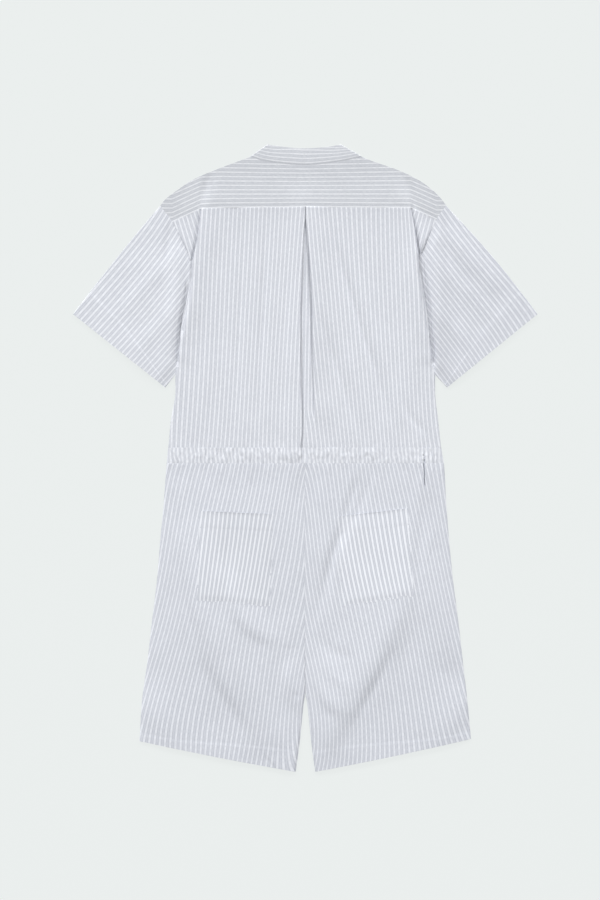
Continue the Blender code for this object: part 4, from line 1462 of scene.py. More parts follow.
@dataclass
class Yoke:
    """Back yoke, flat up to the shoulder seams, with its stitched seam edge over the bodice."""

    tailor: Tailor
    rows: int = 46
    columns: int = 190
    bunched: float = 0.9
    neck_rows: tuple[float, ...] = (0.0, 0.0115, 0.0165, 0.018)
    neck_hidden: float = 0.014
    neck_share: float = 0.285
    fold_share: float = 0.4
    neck_ease: float = 0.02
    pitch: float = 0.0069
    spread: float = 0.003
    first_stripe: float = 0.0009
    pleat_radius: float = 0.00036
    side_radius: float = 0.00036
    side_reach: float = 0.005
    folds_from: Fade = Fade(0.3, 0.7)
    ripple: Ripple = Ripple(0.0003, 0.03, 1.0, 21.0)
    bite: float = 0.0003
    bite_in: float = 0.0006
    ditch: float = 0.00006
    ditch_in: float = 0.0035
    edge_width: float = 0.0012
    pucker: Ripple = Ripple(0.00012, 0.006, 3.0, 23.0)
    pucker_fade: float = 0.006
    arm_drop: float = 0.0001
    arm_reach: float = 0.006
    creases: tuple[Crease, ...] = (
        crease(-0.173, 0.402, -0.168, 0.44, -0.156, 0.472, 0.006, -0.0016),
        crease(-0.15, 0.41, -0.146, 0.44, -0.138, 0.465, 0.009, 0.0006),
        crease(0.184, 0.4, 0.178, 0.435, 0.166, 0.465, 0.006, -0.0016),
        crease(0.16, 0.41, 0.156, 0.44, 0.148, 0.465, 0.009, 0.0006),
    )

    def build(self) -> None:
        """Make the yoke."""
        reach = even(self.columns)
        top = self._top(reach)
        foot_x = self._foot(reach)
        foot = np.stack([foot_x, seam_height(foot_x) - LAP], axis=1)
        down = np.concatenate([self.neck_rows, (even(self.rows) ** self.bunched)[1:]])
        plan = top[None] + (foot - top)[None] * down[:, None, None]
        x, y = plan[..., 0], plan[..., 1]
        ripple = self.ripple.at(x, y) * np.sin(np.pi * down)[:, None]
        flat = BACK_LEVEL + self._folds(x) * self.folds_from.at(down[:, None]) + seam_swell(x, y)
        at_neck = (down[:, None] < self.neck_hidden) * (1 - self._beside_neck(reach)[None])
        lip = (1 - down[:, None]) * np.linalg.norm(foot - top, axis=1)[None]
        seam_edge = self.bite * bell(lip - self.bite_in, self.edge_width)
        seam_edge = seam_edge - self.ditch * bell(lip - self.ditch_in, self.edge_width)
        seam_edge = seam_edge + np.exp(-lip / self.pucker_fade) * self.pucker.at(x, y)
        arm = np.minimum(np.abs(x - foot_x[0]), np.abs(x - foot_x[-1]))
        arm_drop = self.arm_drop * (1 - smooth(arm / self.arm_reach))
        level = flat + creased(self.creases, x, y) + ripple - TUCKED * at_neck + seam_edge - arm_drop
        above_foot = y - seam_height(x) + LAP - self.first_stripe
        numbers = above_foot / (self.pitch + self.spread * np.abs(x))
        self.tailor.sew(
            "yoke_back",
            np.stack([x, y, level], axis=-1),
            cloth_map(numbers, x),
            self.tailor.yoke,
            Cut(0.48, 0.11, 0.0295),
            ["bodice_front_left_cloth", "bodice_front_right_cloth", "bodice_back_cloth"],
        )

    def _top(self, reach: Array) -> Array:
        """Plan points of the upper edge: left shoulder, neck and right shoulder."""
        left, right = self.neck_share, 1 - self.neck_share
        left_shoulder = along(edge_points(SHOULDER, Side.LEFT)[::-1], np.clip(reach / left, 0, 1))
        neck = np.array(NECK_SEAM) + np.array((0.0, LAP))
        neck = along(neck, np.clip((reach - left) / (right - left), 0, 1))
        right_reach = np.clip((reach - right) / (1 - right), 0, 1)
        right_shoulder = along(edge_points(SHOULDER, Side.RIGHT), right_reach)
        top = np.where((reach > right)[:, None], right_shoulder, neck)
        return np.where((reach < left)[:, None], left_shoulder, top)

    def _foot(self, reach: Array) -> Array:
        """Where each column ends across the seam with the bodice."""
        left, right = self.neck_share, 1 - self.neck_share
        fold = left * self.fold_share
        ends = (YOKE_SEAM[0].x, SIDE_FOLDS[0].left, -YOKE_NECK)
        ends += (YOKE_NECK, SIDE_FOLDS[0].right, YOKE_SEAM[-1].x)
        return Curve((0.0, fold, left, right, 1 - fold, 1.0), ends).at(reach)

    def _beside_neck(self, reach: Array) -> Array:
        """Share of each column that lies outside the neck."""
        ease, left, right = self.neck_ease, self.neck_share, 1 - self.neck_share
        return smooth((left + ease - reach) / (2 * ease)) + smooth((reach - right + ease) / (2 * ease))

    def _folds(self, x: Array) -> Array:
        """How far the folds of the bodice below lift the yoke."""
        folds = 4 * self.pleat_radius * (1 - smooth(np.abs(x - PLEAT_AXIS) / FOLD_REACH))
        for side in Side:
            inside = side.value * (getattr(SIDE_FOLDS[0], side.word) - x)
            near = np.where(inside > 0, inside / FOLD_REACH, -inside / self.side_reach)
            folds = folds + 4 * self.side_radius * (1 - smooth(near))
        return folds


@dataclass
class Collar:
    """Stand collar: one band round the neck, folded flat at the two neck points."""

    tailor: Tailor
    across: int = 12
    along_back: int = 90
    along_front: int = 60
    edge_run: float = 0.002
    turn_steps: int = 10
    back_lift: float = 0.0003
    bulge: float = 0.0002
    pressed: float = 0.3
    seam_drop: float = 0.0004
    seam_reach: float = 0.12
    pitch: float = 0.0071
    first_stripe: float = 0.42

    def build(self) -> None:
        """Make the band from the left front end, round the back, to the right front end."""
        front, back = BAND_WALL / 2, BACK_LEVEL + self.back_lift
        travelled, previous = 0.0, None
        rows, lengths = [], []
        shares = even(self.across)
        for seam, edge, level, out in self._strips(front, back):
            line = edge - seam
            unit = line / np.linalg.norm(line)
            points = seam + line * shares[:, None] + np.array((unit[1], -unit[0])) * out
            raised = (level - front) / (back - front)
            crown = self.bulge * np.sin(np.pi * shares) * raised
            fall = self.seam_drop * (1 - smooth(shares / self.seam_reach)) * raised
            rows.append(np.column_stack([points, level + crown - fall]))
            if previous is not None:
                travelled += float(np.linalg.norm(points[0] - previous))
            previous = points[0]
            lengths.append(travelled)
        points = np.array(rows)
        across = np.linalg.norm(points[:, :, :2] - points[:, :1, :2], axis=2)
        self.tailor.sew(
            "collar_band",
            points,
            cloth_map(across / self.pitch + self.first_stripe, np.array(lengths)[:, None]),
            self.tailor.band,
            Cut(0.43, 0.034, 0.0113),
            ["yoke_back_cloth", "studio_floor"],
            wall=BAND_WALL,
        )

    def _strips(self, front: float, back: float) -> list[tuple[Array, Array, float, float]]:
        """Strips across the band, from its left front end to its right one.

        Args:
            front: Level of the front runs.
            back: Level of the back run.

        Returns:
            For each strip its seam end, its free end, its level and how far it is turned out.
        """
        bend = (back - front) / 2
        press = self.pressed * bend
        ends = {}
        for side in Side:
            runs = (FRONT_NECK, FRONT_BAND_TOP)
            smoothed = [along(edge_points(run[:-1], side), even(self.along_front)) for run in runs]
            tips = [edge_points(run[-1:], side) for run in runs]
            ends[side] = [np.concatenate(pair) for pair in zip(smoothed, tips)]
        turns = [
            (front + bend * (1 - math.cos(angle)), press * math.sin(angle))
            for angle in np.pi * even(self.turn_steps)[1:-1]
        ]
        strips = [(a, b, front, 0.0) for a, b in zip(*(part[::-1] for part in ends[Side.LEFT]))]
        seam, edge = (part[0] for part in ends[Side.LEFT])
        strips += [(seam, edge, level, -out) for level, out in turns]
        run = self.edge_run
        shares = np.concatenate([[0.0, run], even(self.along_back)[1:-1], [1 - run, 1.0]])
        strips += [(a, b, back, 0.0) for a, b in zip(along(NECK_SEAM, shares), along(BAND_TOP, shares))]
        seam, edge = (part[0] for part in ends[Side.RIGHT])
        strips += [(seam, edge, level, out) for level, out in turns[::-1]]
        return strips + [(a, b, front, 0.0) for a, b in zip(*ends[Side.RIGHT])]


# --- sleeves ---


@dataclass
class Sleeve:
    """Short sleeve: a tube pressed flat, with a doubled hem at the cuff."""

    tailor: Tailor
    side: Side
    rows: int = 84
    first_rows: tuple[float, ...] = (0.0, 0.0008, 0.0016)
    top_rows: int = 7
    dense: int = 28
    around: int = 76
    edge_run: float = 0.001
    turn_steps: int = 8
    squeeze: float = 12.0
    fullness: float = 0.002
    full_down: float = 0.3
    full_shoulder: float = 0.75
    full_underarm: float = 0.12
    hem: float = 0.029
    hem_step: float = 0.0004
    hem_edge: float = 0.0012
    pressed: float = 0.4
    under: float = 0.0012
    swell: Ripple = Ripple(0.0005, 0.032, 1.3, 31.0)
    creased_from: Fade = Fade(-0.02, 0.1)
    back_face: Fade = Fade(BACK_LEVEL - 0.0012, 0.0006)
    recess_level: float = 0.0009
    recess: dict[Side, float] = both(0.0044, 0.0064)
    wall: dict[Side, float] = both(0.001, 0.0014)
    recess_top: dict[Side, Fade] = both(Fade(0.3, -0.03), Fade(0.335, -0.03))
    recess_foot: Fade = Fade(0.148, 0.015)
    creases: dict[Side, tuple[Crease, ...]] = both(
        (
            crease(-0.225, 0.395, -0.222, 0.36, -0.235, 0.31, 0.006, -0.0016),
            crease(-0.208, 0.35, -0.212, 0.27, -0.222, 0.165, 0.012, 0.0036),
            crease(-0.205, 0.34, -0.26, 0.29, -0.32, 0.225, 0.014, 0.001),
            crease(-0.2, 0.27, -0.24, 0.22, -0.28, 0.17, 0.012, 0.0007),
        ),
        (
            crease(0.228, 0.4, 0.232, 0.36, 0.242, 0.315, 0.007, -0.0018),
            crease(0.214, 0.39, 0.218, 0.28, 0.226, 0.165, 0.015, 0.0042),
            crease(0.205, 0.33, 0.262, 0.285, 0.325, 0.222, 0.014, 0.0009),
            crease(0.218, 0.385, 0.27, 0.33, 0.325, 0.27, 0.02, 0.002),
            crease(0.2, 0.26, 0.24, 0.215, 0.282, 0.17, 0.012, 0.0007),
        ),
    )

    def build(self) -> None:
        """Make the sleeve from the armhole to the cuff."""
        side, run = self.side, self.edge_run
        stations = np.concatenate([[0.0, run], even(self.around)[1:-1], [1 - run, 1.0]])
        armhole = along(edge_points(ARMHOLE, side), stations)
        cuff = along(edge_points(CUFF, side), stations)
        length = float(np.linalg.norm(cuff - armhole, axis=1).mean())
        close = np.linspace(0.0, self.top_rows / self.rows, self.dense)[1:-1]
        shares = np.concatenate([self.first_rows, close, even(self.rows)[self.top_rows :]])
        rows, maps = [], []
        for share in shares:
            ring = self._ring(armhole, cuff, stations, float(share), length)
            rows.append(ring)
            numbers = SLEEVE_STRIPES[side].at(ring[:, 0], ring[:, 1])
            maps.append(cloth_map(numbers, np.full(len(ring), share * length)))
        points = np.array(rows)
        x, y = points[..., 0], points[..., 1]
        upper = self.back_face.at(points[..., 2])
        rise = creased(self.creases[side], x, y) + self.swell.at(x, y, side.value)
        points[..., 2] += rise * self.creased_from.at(shares[:, None]) * upper
        fold = np.abs(column(SIDE_FOLDS, side.word).at(np.maximum(y, UNDERARM)))
        covered = self.recess_top[side].at(y) * self.recess_foot.at(y)
        inside = 1 - smooth((np.abs(x) - fold - self.recess[side]) / self.wall[side])
        points[..., 2] = mix(points[..., 2], self.recess_level, upper * covered * inside)
        self.tailor.sew(
            f"sleeve_{side.word}",
            points,
            np.array(maps),
            self.tailor.sleeve[side],
            Cut(0.56, 0.2, 0.0637),
            ["studio_floor"],
            ring=True,
        )

    def _ring(self, armhole: Array, cuff: Array, stations: Array, share: float, length: float) -> Array:
        """One row of points right round the sleeve.

        Args:
            armhole: Plan points along the armhole.
            cuff: Plan points along the cuff.
            stations: Where they lie between the shoulder and the underarm.
            share: Where the row lies between the armhole and the cuff.
            length: Length of the sleeve.

        Returns:
            Points over the back, round the underarm, over the front and round the shoulder.
        """
        bow = np.array((self.side.value, 1.0)) * SLEEVE_BOW[self.side] * math.sin(math.pi * share)
        plan = mix(armhole, cuff, share) + bow * ((1 - stations) ** 2)[:, None]
        if share == 0:
            outward = armhole - cuff
            plan = plan + outward / np.linalg.norm(outward, axis=1)[:, None] * self.under
        bend = (BACK_LEVEL - FRONT_LEVEL) / 2
        press = self.pressed * bend
        inset = press + WALL / 2
        steps = plan[1] - plan[0], plan[-2] - plan[-1]
        inward = [step / np.linalg.norm(step) for step in steps]
        for way, distance in zip(inward, (stations, 1 - stations)):
            near = 1 - np.clip(distance * self.squeeze, 0, 1)
            plan = plan + way * inset * near[:, None]
        full = self.fullness * float(smooth(share / self.full_down))
        full = full * smooth(stations / self.full_shoulder) * smooth((1 - stations) / self.full_underarm)
        top = BACK_LEVEL + full - (TUCKED if share == 0 else 0.0)
        top = top + self.hem_step * float(past(share * length - length + self.hem, self.hem_edge))
        turns = [
            (press * math.sin(angle), FRONT_LEVEL + bend * (1 + math.cos(angle)))
            for angle in np.pi * even(self.turn_steps)[1:-1]
        ]
        underarm = [(*(plan[-1] - inward[1] * out), level) for out, level in turns]
        shoulder = [(*(plan[0] - inward[0] * out), level) for out, level in turns[::-1]]
        back = np.column_stack([plan, top])
        front = np.column_stack([plan[::-1], np.full(len(plan), FRONT_LEVEL)])
        return np.concatenate([back, underarm, front, shoulder, back[:1]])


# --- waist ---


TUCK_RIDGE = crease(0.196, 0.01, 0.1965, -0.025, 0.201, -0.08, 0.011, 0.0017)
TUCK_X = 0.1962
TUCK_SHARE = 0.8545
TUCK_DEPTH = 0.0032
TUCK_HALF = 0.001
TUCK_WALL = 0.0004
TUCK_OFFSETS = np.array([-2.8, -1.8, -1.3, -1.2, -1.0, -0.8, 0.0, 0.8, 1.0, 1.2, 1.3, 1.8, 2.8]) / 1000
PLEAT_FOOT_X = -0.012
PLEAT_FOOT_WIDTH = 0.018
PLEAT_FOOT_RISE = 0.0014


def tuck_slot(distance: Array) -> Array:
    """Depth share of the small tuck at a distance from its line."""
    return 1 - past(np.abs(distance) - TUCK_HALF, TUCK_WALL)


def pleat_foot(x: Array) -> Array:
    """Height of the pleat's end where the casing meets the legs."""
    return PLEAT_FOOT_RISE * bell(x - PLEAT_FOOT_X, PLEAT_FOOT_WIDTH)


@dataclass
class Waist:
    """Elastic casing at the back of the waist, and its flat front halves."""

    tailor: Tailor
    columns: int = 330
    rows: int = 20
    body: float = 0.0002
    top_lift: float = 0.0001
    fall: float = 0.0002
    gathers: tuple[Ripple, ...] = (
        Ripple(0.0013, 0.0052, 5.0, 41.0),
        Ripple(0.000585, 0.0052 / 2.2, 3.0, 43.0),
    )
    gather_edge: float = 0.03
    pleat_x: float = -0.0078
    pleat_rise: float = 0.0026
    pleat_step: float = 0.0022
    pleat_end: Fade = Fade(0.45, 0.55)
    tuck_start: Fade = Fade(0.35, 0.25)
    side_roll: float = 0.009
    bulge: Ripple = Ripple(0.0008, 0.008, 1.0, 45.0)
    wavers: tuple[Ripple, ...] = (Ripple(0.4, 0.015, 1.5, 49.0), Ripple(0.14, 0.006, 1.5, 50.0))
    front_rows: int = 8
    front_columns: int = 100
    front_lift: Ripple = Ripple(0.0002, 0.006, 4.0, 47.0)

    def build(self) -> None:
        """Make the back casing and the two front halves."""
        self._back()
        for side in Side:
            self._front(side)

    def _back(self) -> None:
        """The gathered casing at the back."""
        down = even(self.rows)[:, None]
        y = mix(WAIST_TOP, WAIST_BOTTOM, down)
        left, right = (column(BODY_SIDE, side.word).at(y) for side in Side)
        width = right[0] - left[0]
        share = (TUCK_X - left[0]) / width + TUCK_OFFSETS / width
        x = mix(left, right, np.unique(np.concatenate([even(self.columns), share]))[None])
        y = np.broadcast_to(y, x.shape)
        crown = np.sin(np.pi * down)
        gathers = sum(ripple.at(x, y) for ripple in self.gathers)
        rise = self.body * crown + self.top_lift - self.fall * down
        rise = rise + gathers * mix(self.gather_edge, 1.0, crown)
        beside = x - self.pleat_x
        step = np.where(beside < 0, -beside / FOLD_REACH, beside / self.pleat_step)
        bump = self.pleat_rise * (1 - smooth(step))
        rise = rise + mix(bump, pleat_foot(x), self.pleat_end.at(down))
        tuck = TUCK_DEPTH * tuck_slot(x - TUCK_X) * self.tuck_start.at(down)
        rise = rise + TUCK_RIDGE.rise(x, y) - tuck
        near = np.minimum(x - left, right - x)
        level = rolled(near, JOIN_LEVEL, np.maximum(BACK_LEVEL + rise, JOIN_LEVEL), self.side_roll)
        bulged = np.clip(x + self.bulge.at(x, y) * crown, left, right)
        pushed = sum(ripple.at(x, y) for ripple in self.wavers)
        self.tailor.sew(
            "waistband_back",
            np.stack([bulged, y, level], axis=-1),
            cloth_map(WAIST_STRIPES.at(x, y) + pushed, y),
            self.tailor.casing,
            Cut(0.456, 0.026, 0.0116),
            ["waistband_front_left_cloth", "waistband_front_right_cloth"],
            wall=BAND_WALL,
        )

    def _front(self, side: Side) -> None:
        """One flat front half."""
        y = mix(WAIST_TOP, WAIST_BOTTOM + SEAM, even(self.front_rows)[:, None])
        outer = column(BODY_SIDE, side.word).at(y)
        x = mix(side.value * (PLACKET_HALF + SEAM), outer, even(self.front_columns)[None])
        y = np.broadcast_to(y, x.shape)
        self.tailor.sew_front(
            f"waistband_front_{side.word}",
            x,
            y,
            FRONT_LEVEL + self.front_lift.raised(x, y, side.value),
            self.tailor.casing,
            Cut(0.212, 0.026, 0.0054),
        )


# --- legs ---


def placket_half(y: Array) -> Array:
    """Half the width of the front placket, which ends in a point at the crotch."""
    return PLACKET_HALF * np.clip((y - CROTCH) / PLACKET_POINT, 0.0, 1.0)


@dataclass(frozen=True)
class LegForm:
    """How the cloth of the back legs stands up."""

    fullness: float = 0.0018
    full_from: Fade = Fade(WAIST_BOTTOM, -0.16)
    ease: float = 0.06
    swell: Ripple = Ripple(0.0006, 0.036, 1.8, 51.0)
    relaxed: Fade = Fade(WAIST_BOTTOM, -0.04)
    gathers: Ripple = Ripple(0.001, 0.0065, 7.0, 53.0)
    gather_fade: float = 0.034
    gather_least: float = 0.1
    gather_rise: float = 0.012
    pleat_end: Fade = Fade(WAIST_BOTTOM, -0.06)
    parted: Fade = Fade(CROTCH + 0.015, -0.03)
    ditch: float = 0.00012
    ditch_width: float = 0.0014
    creases: dict[Side, tuple[Crease, ...]] = both(
        (
            ledge(-0.214, -0.1, -0.206, -0.33, -0.07, -0.484, 0.021, 0.007),
            crease(-0.172, -0.33, -0.15, -0.382, -0.085, -0.465, 0.011, -0.0012),
            crease(-0.208, -0.15, -0.204, -0.235, -0.172, -0.32, 0.009, -0.0013),
            ledge(-0.134, -0.19, -0.126, -0.298, -0.04, -0.308, 0.008, 0.0028),
            crease(-0.128, -0.09, -0.126, -0.16, -0.13, -0.24, 0.006, -0.001),
            crease(-0.172, -0.1, -0.168, -0.16, -0.172, -0.225, 0.007, 0.0006),
            crease(-0.02, -0.33, -0.034, -0.37, -0.012, -0.41, 0.011, 0.0016),
            crease(-0.022, -0.385, -0.014, -0.396, -0.008, -0.386, 0.008, -0.0006),
            ledge(-0.29, -0.39, -0.262, -0.445, -0.205, -0.49, 0.015, 0.0013),
            ledge(-0.09, -0.5, -0.04, -0.485, -0.008, -0.425, 0.01, 0.0012),
        ),
        (
            ledge(0.025, -0.505, 0.15, -0.325, 0.198, -0.18, 0.017, 0.005),
            ledge(0.05, -0.47, 0.108, -0.4, 0.152, -0.325, 0.012, 0.0018),
            crease(0.08, -0.435, 0.118, -0.375, 0.145, -0.315, 0.009, -0.0016),
            crease(0.197, -0.03, 0.189, -0.14, 0.186, -0.25, 0.008, -0.0013),
            crease(0.093, -0.02, 0.058, -0.11, 0.014, -0.275, 0.008, -0.002),
            crease(0.112, -0.02, 0.084, -0.1, 0.045, -0.16, 0.008, -0.0012),
            crease(0.046, -0.135, 0.04, -0.2, 0.034, -0.265, 0.008, -0.0013),
            ledge(0.004, -0.33, 0.016, -0.42, 0.07, -0.425, 0.008, 0.0026),
            crease(0.014, -0.29, 0.05, -0.33, 0.085, -0.33, 0.01, -0.0008),
            ledge(0.252, -0.35, 0.234, -0.26, 0.226, -0.15, 0.009, 0.003),
            crease(0.03, -0.33, 0.05, -0.37, 0.08, -0.38, 0.012, 0.001),
            ledge(0.205, -0.49, 0.262, -0.445, 0.29, -0.38, 0.015, 0.002),
            ledge(0.01, -0.43, 0.03, -0.485, 0.085, -0.505, 0.01, 0.0013),
        ),
    )

    def level(self, side: Side, x: Array, y: Array) -> Array:
        """Height of the middle of a back leg's cloth.

        Args:
            side: Which leg.
            x: Places across.
            y: Places up the garment.

        Returns:
            Array of heights.
        """
        outer = np.abs(column(BODY_SIDE, side.word).at(y) - x)
        inner = np.abs(column(INNER_LEG, side.word).at(y) - x)
        below = WAIST_BOTTOM - y
        inside = np.clip(np.minimum(outer, inner + self.ease / 2) / self.ease, 0, 1)
        rise = self.fullness * self.full_from.at(y) * np.sin(0.5 * np.pi * inside)
        rise = rise + creased(self.creases[side], x, y) + self.swell.at(x, y, side.value)
        rise = rise * self.relaxed.at(y)
        near = np.exp(-below / self.gather_fade) * (self.gather_least + smooth(below / self.gather_rise))
        rise = rise + near * self.gathers.at(x, y)
        pleat = pleat_foot(x) * (1 - self.pleat_end.at(y))
        level = np.maximum(BACK_LEVEL + rise + pleat, JOIN_LEVEL)
        level = rolled(outer, JOIN_LEVEL, level)
        open_side = rolled(inner, JOIN_LEVEL, level)
        level = level - TUCKED * (1 - smooth(1 + below / HIDDEN))
        joined = level - self.ditch * bell(inner, self.ditch_width)
        return mix(joined, open_side, self.parted.at(y))


LEG_FORM = LegForm()


@dataclass
class Leg:
    """One short leg: its back with folds and a doubled hem, and its flat front."""

    tailor: Tailor
    side: Side
    rows: int = 196
    columns: int = 118
    gap: float = SEAM / 8
    hem_inner: float = 0.033
    hem_outer: float = 0.0125
    hem_narrows: Fade = Fade(0.02, 0.24)
    hem_step: float = 0.00022
    hem_edge: float = 0.0012
    hem_ditch: float = 0.0002
    hem_ditch_width: float = 0.0015
    hem_bowed: Fade = Fade(0.7, 0.3)
    tuck_end: Fade = Fade(-0.052, 0.02)
    front_rows: int = 90
    front_columns: int = 50
    front_lift: Ripple = Ripple(0.00025, 0.05, 2.0, 61.0)

    def build(self) -> None:
        """Make the back and the front of the leg."""
        self._back()
        self._front()

    def _back(self) -> None:
        """The back of the leg, under the casing's edge and down to the hem."""
        side = self.side
        shares = even(self.columns)
        if side is Side.RIGHT:
            width = BODY_SIDE[4].right
            shares = np.unique(np.concatenate([shares, TUCK_SHARE + TUCK_OFFSETS / width]))
        down = np.concatenate([np.zeros(3), even(self.rows)])
        down[3] = CLOSE
        lap = np.zeros(len(down))
        lap[:2] = LAP, HIDDEN
        x, y = self.plan(down[:, None], shares[None], self.gap, lap[:, None])
        level = LEG_FORM.level(side, x, y)
        if side is Side.RIGHT:
            slot = tuck_slot((shares[None] - TUCK_SHARE) * width)
            level = level + TUCK_RIDGE.rise(x, y) - TUCK_DEPTH * slot * self.tuck_end.at(y)
        above = y - self._hem(x) - self.hem_depth(x)
        level = np.maximum(level, JOIN_LEVEL) + self.hem_step * (1 - past(above, self.hem_edge))
        level = level - self.hem_ditch * bell(above, self.hem_ditch_width)
        self.tailor.sew(
            f"leg_back_{side.word}",
            np.stack([x, y, level], axis=-1),
            cloth_map(LEG_STRIPES[side].at(x, y), y),
            self.tailor.leg,
            Cut(0.285, 0.51, 0.1204),
            [f"leg_front_{side.word}_cloth"],
        )

    def _front(self) -> None:
        """The front of the leg, flat on the surface beside the placket."""
        sign = self.side.value
        x, y = self.plan(even(self.front_rows)[:, None], even(self.front_columns)[None], 0.0)
        x = sign * np.maximum(sign * x, placket_half(y))
        self.tailor.sew_front(
            f"leg_front_{self.side.word}",
            x,
            y,
            FRONT_LEVEL + self.front_lift.raised(x, y, sign),
            self.tailor.leg,
            Cut(0.285, 0.51, 0.1149),
        )

    def plan(
        self, down: Array, share: Array, gap: float, lap: Array | float = 0.0
    ) -> tuple[Array, Array]:
        """Plan places of the leg.

        Args:
            down: Shares from waist to hem.
            share: Shares from the inner edge to the side.
            gap: Distance kept at the inner edge.
            lap: How far each row goes up under the waist.

        Returns:
            Places across and up.
        """
        side_hem = BODY_SIDE[-1].y + (HEM_RIGHT_LIFT if self.side is Side.RIGHT else 0.0)
        outer_y = mix(WAIST_BOTTOM, side_hem, down) + lap
        inner_y = mix(WAIST_BOTTOM, HEM_INNER, down) + lap
        outer_x = column(BODY_SIDE, self.side.word).at(outer_y)
        inner_x = column(INNER_LEG, self.side.word).at(inner_y) + self.side.value * gap
        bow = HEM_BOW * np.sin(np.pi * share) * self.hem_bowed.at(down)
        return mix(inner_x, outer_x, share), mix(inner_y, outer_y, share) - bow

    def hem_depth(self, x: Array) -> Array:
        """Depth of the turned hem across the leg."""
        return mix(self.hem_inner, self.hem_outer, self.hem_narrows.at(np.abs(x)))

    def _hem(self, x: Array) -> Array:
        """Height of the hem's edge across the leg."""
        (x_in, y_in), (x_out, y_out) = (self.plan(np.ones(1), np.array(share), 0.0) for share in (0, 1))
        return mix(y_in, y_out, (x - x_in) / (x_out - x_in))


@dataclass
class Pocket:
    """Patch pocket on a back leg, with a turned hem at its mouth."""

    tailor: Tailor
    side: Side
    top_left: Point
    top_right: Point
    bottom_right: Point
    bottom_left: Point
    rows: int = 66
    mouth_rows: tuple[float, ...] = (0.0, 0.0035, 0.008)
    columns: int = 54
    seam_gap: float = 0.00005
    open_gap: float = WALL + 0.0001
    open_reach: float = 0.012
    mouth: float = 0.026
    hem_step: float = 0.00015
    hem_edge: float = 0.003
    ditch: float = 0.0001
    ditch_in: float = 0.0028
    ditch_width: float = 0.0009
    hem_ditch_width: float = 0.0012
    sag: float = 0.0007
    sag_fade: float = 0.03
    gape: float = 0.0005
    gape_fade: float = 0.002
    pucker: Ripple = Ripple(0.00018, 0.0065, 1.0, 71.0)
    pucker_fade: float = 0.006
    ripple: Ripple = Ripple(0.0004, 0.02, 3.0, 73.0)

    def build(self) -> None:
        """Make the pocket."""
        down = np.concatenate([self.mouth_rows, even(self.rows)[1:]])[:, None]
        share = even(self.columns)[None]
        left = mix(np.array(self.top_left), np.array(self.bottom_left), down[..., None])
        right = mix(np.array(self.top_right), np.array(self.bottom_right), down[..., None])
        plan = mix(left, right, share[..., None])
        x, y = plan[..., 0], plan[..., 1]
        width = math.dist(self.top_left, self.top_right)
        length = math.dist(self.top_left, self.bottom_left)
        below, arch = down * length, np.sin(np.pi * share)
        near = np.minimum(np.minimum(share, 1 - share) * width, length - below)
        level = LEG_FORM.level(self.side, x, y)
        level = level + mix(self.seam_gap, self.open_gap, smooth(near / self.open_reach))
        level = level + self.hem_step * (1 - past(below - self.mouth, self.hem_edge))
        level = level - self.ditch * bell(near - self.ditch_in, self.ditch_width)
        level = level - self.ditch * bell(below - self.mouth, self.hem_ditch_width)
        level = level + self.sag * np.exp(-below / self.sag_fade) * arch
        level = level + self.gape * np.exp(-below / self.gape_fade) * np.sqrt(arch)
        level = level + np.exp(-near / self.pucker_fade) * self.pucker.at(x, y)
        level = level + self.ripple.at(x, y, self.side.value) * arch
        self.tailor.sew(
            f"pocket_{self.side.word}",
            np.stack([x, y, level], axis=-1),
            cloth_map(POCKET_STRIPES[self.side].at(x, y), y),
            self.tailor.pocket[self.side],
            Cut(0.122, 0.153, 0.0178),
            [f"leg_back_{self.side.word}_cloth"],
        )


def pockets(tailor: Tailor) -> list[Pocket]:
    """The two patch pockets."""
    return [
        Pocket(
            tailor,
            Side.LEFT,
            Point(-0.1725, -0.087),
            Point(-0.052, -0.092),
            Point(-0.0575, -0.245),
            Point(-0.178, -0.234),
        ),
        Pocket(
            tailor,
            Side.RIGHT,
            Point(0.053, -0.096),
            Point(0.1695, -0.0825),
            Point(0.179, -0.2275),
            Point(0.061, -0.244),
        ),
    ]


@dataclass
class Placket:
    """Covered fly placket down the front, from the neck to the crotch."""

    tailor: Tailor
    rows: int = 150
    columns: int = 16
    point_gap: float = 0.0015
    lift: Ripple = Ripple(0.0002, 0.02, 3.0, 81.0)

    def build(self) -> None:
        """Make the placket, flat on the surface."""
        y = mix(FRONT_NECK[-1].y - SEAM, CROTCH + self.point_gap, even(self.rows)[:, None])
        x = (placket_half(y) - SEAM) * mix(-1.0, 1.0, even(self.columns))[None]
        y = np.broadcast_to(y, x.shape)
        self.tailor.sew_front(
            "front_placket",
            x,
            y,
            FRONT_LEVEL + self.lift.raised(x, y),
            self.tailor.shell,
            Cut(0.03, 0.81, 0.0231),
        )


# --- stitching ---


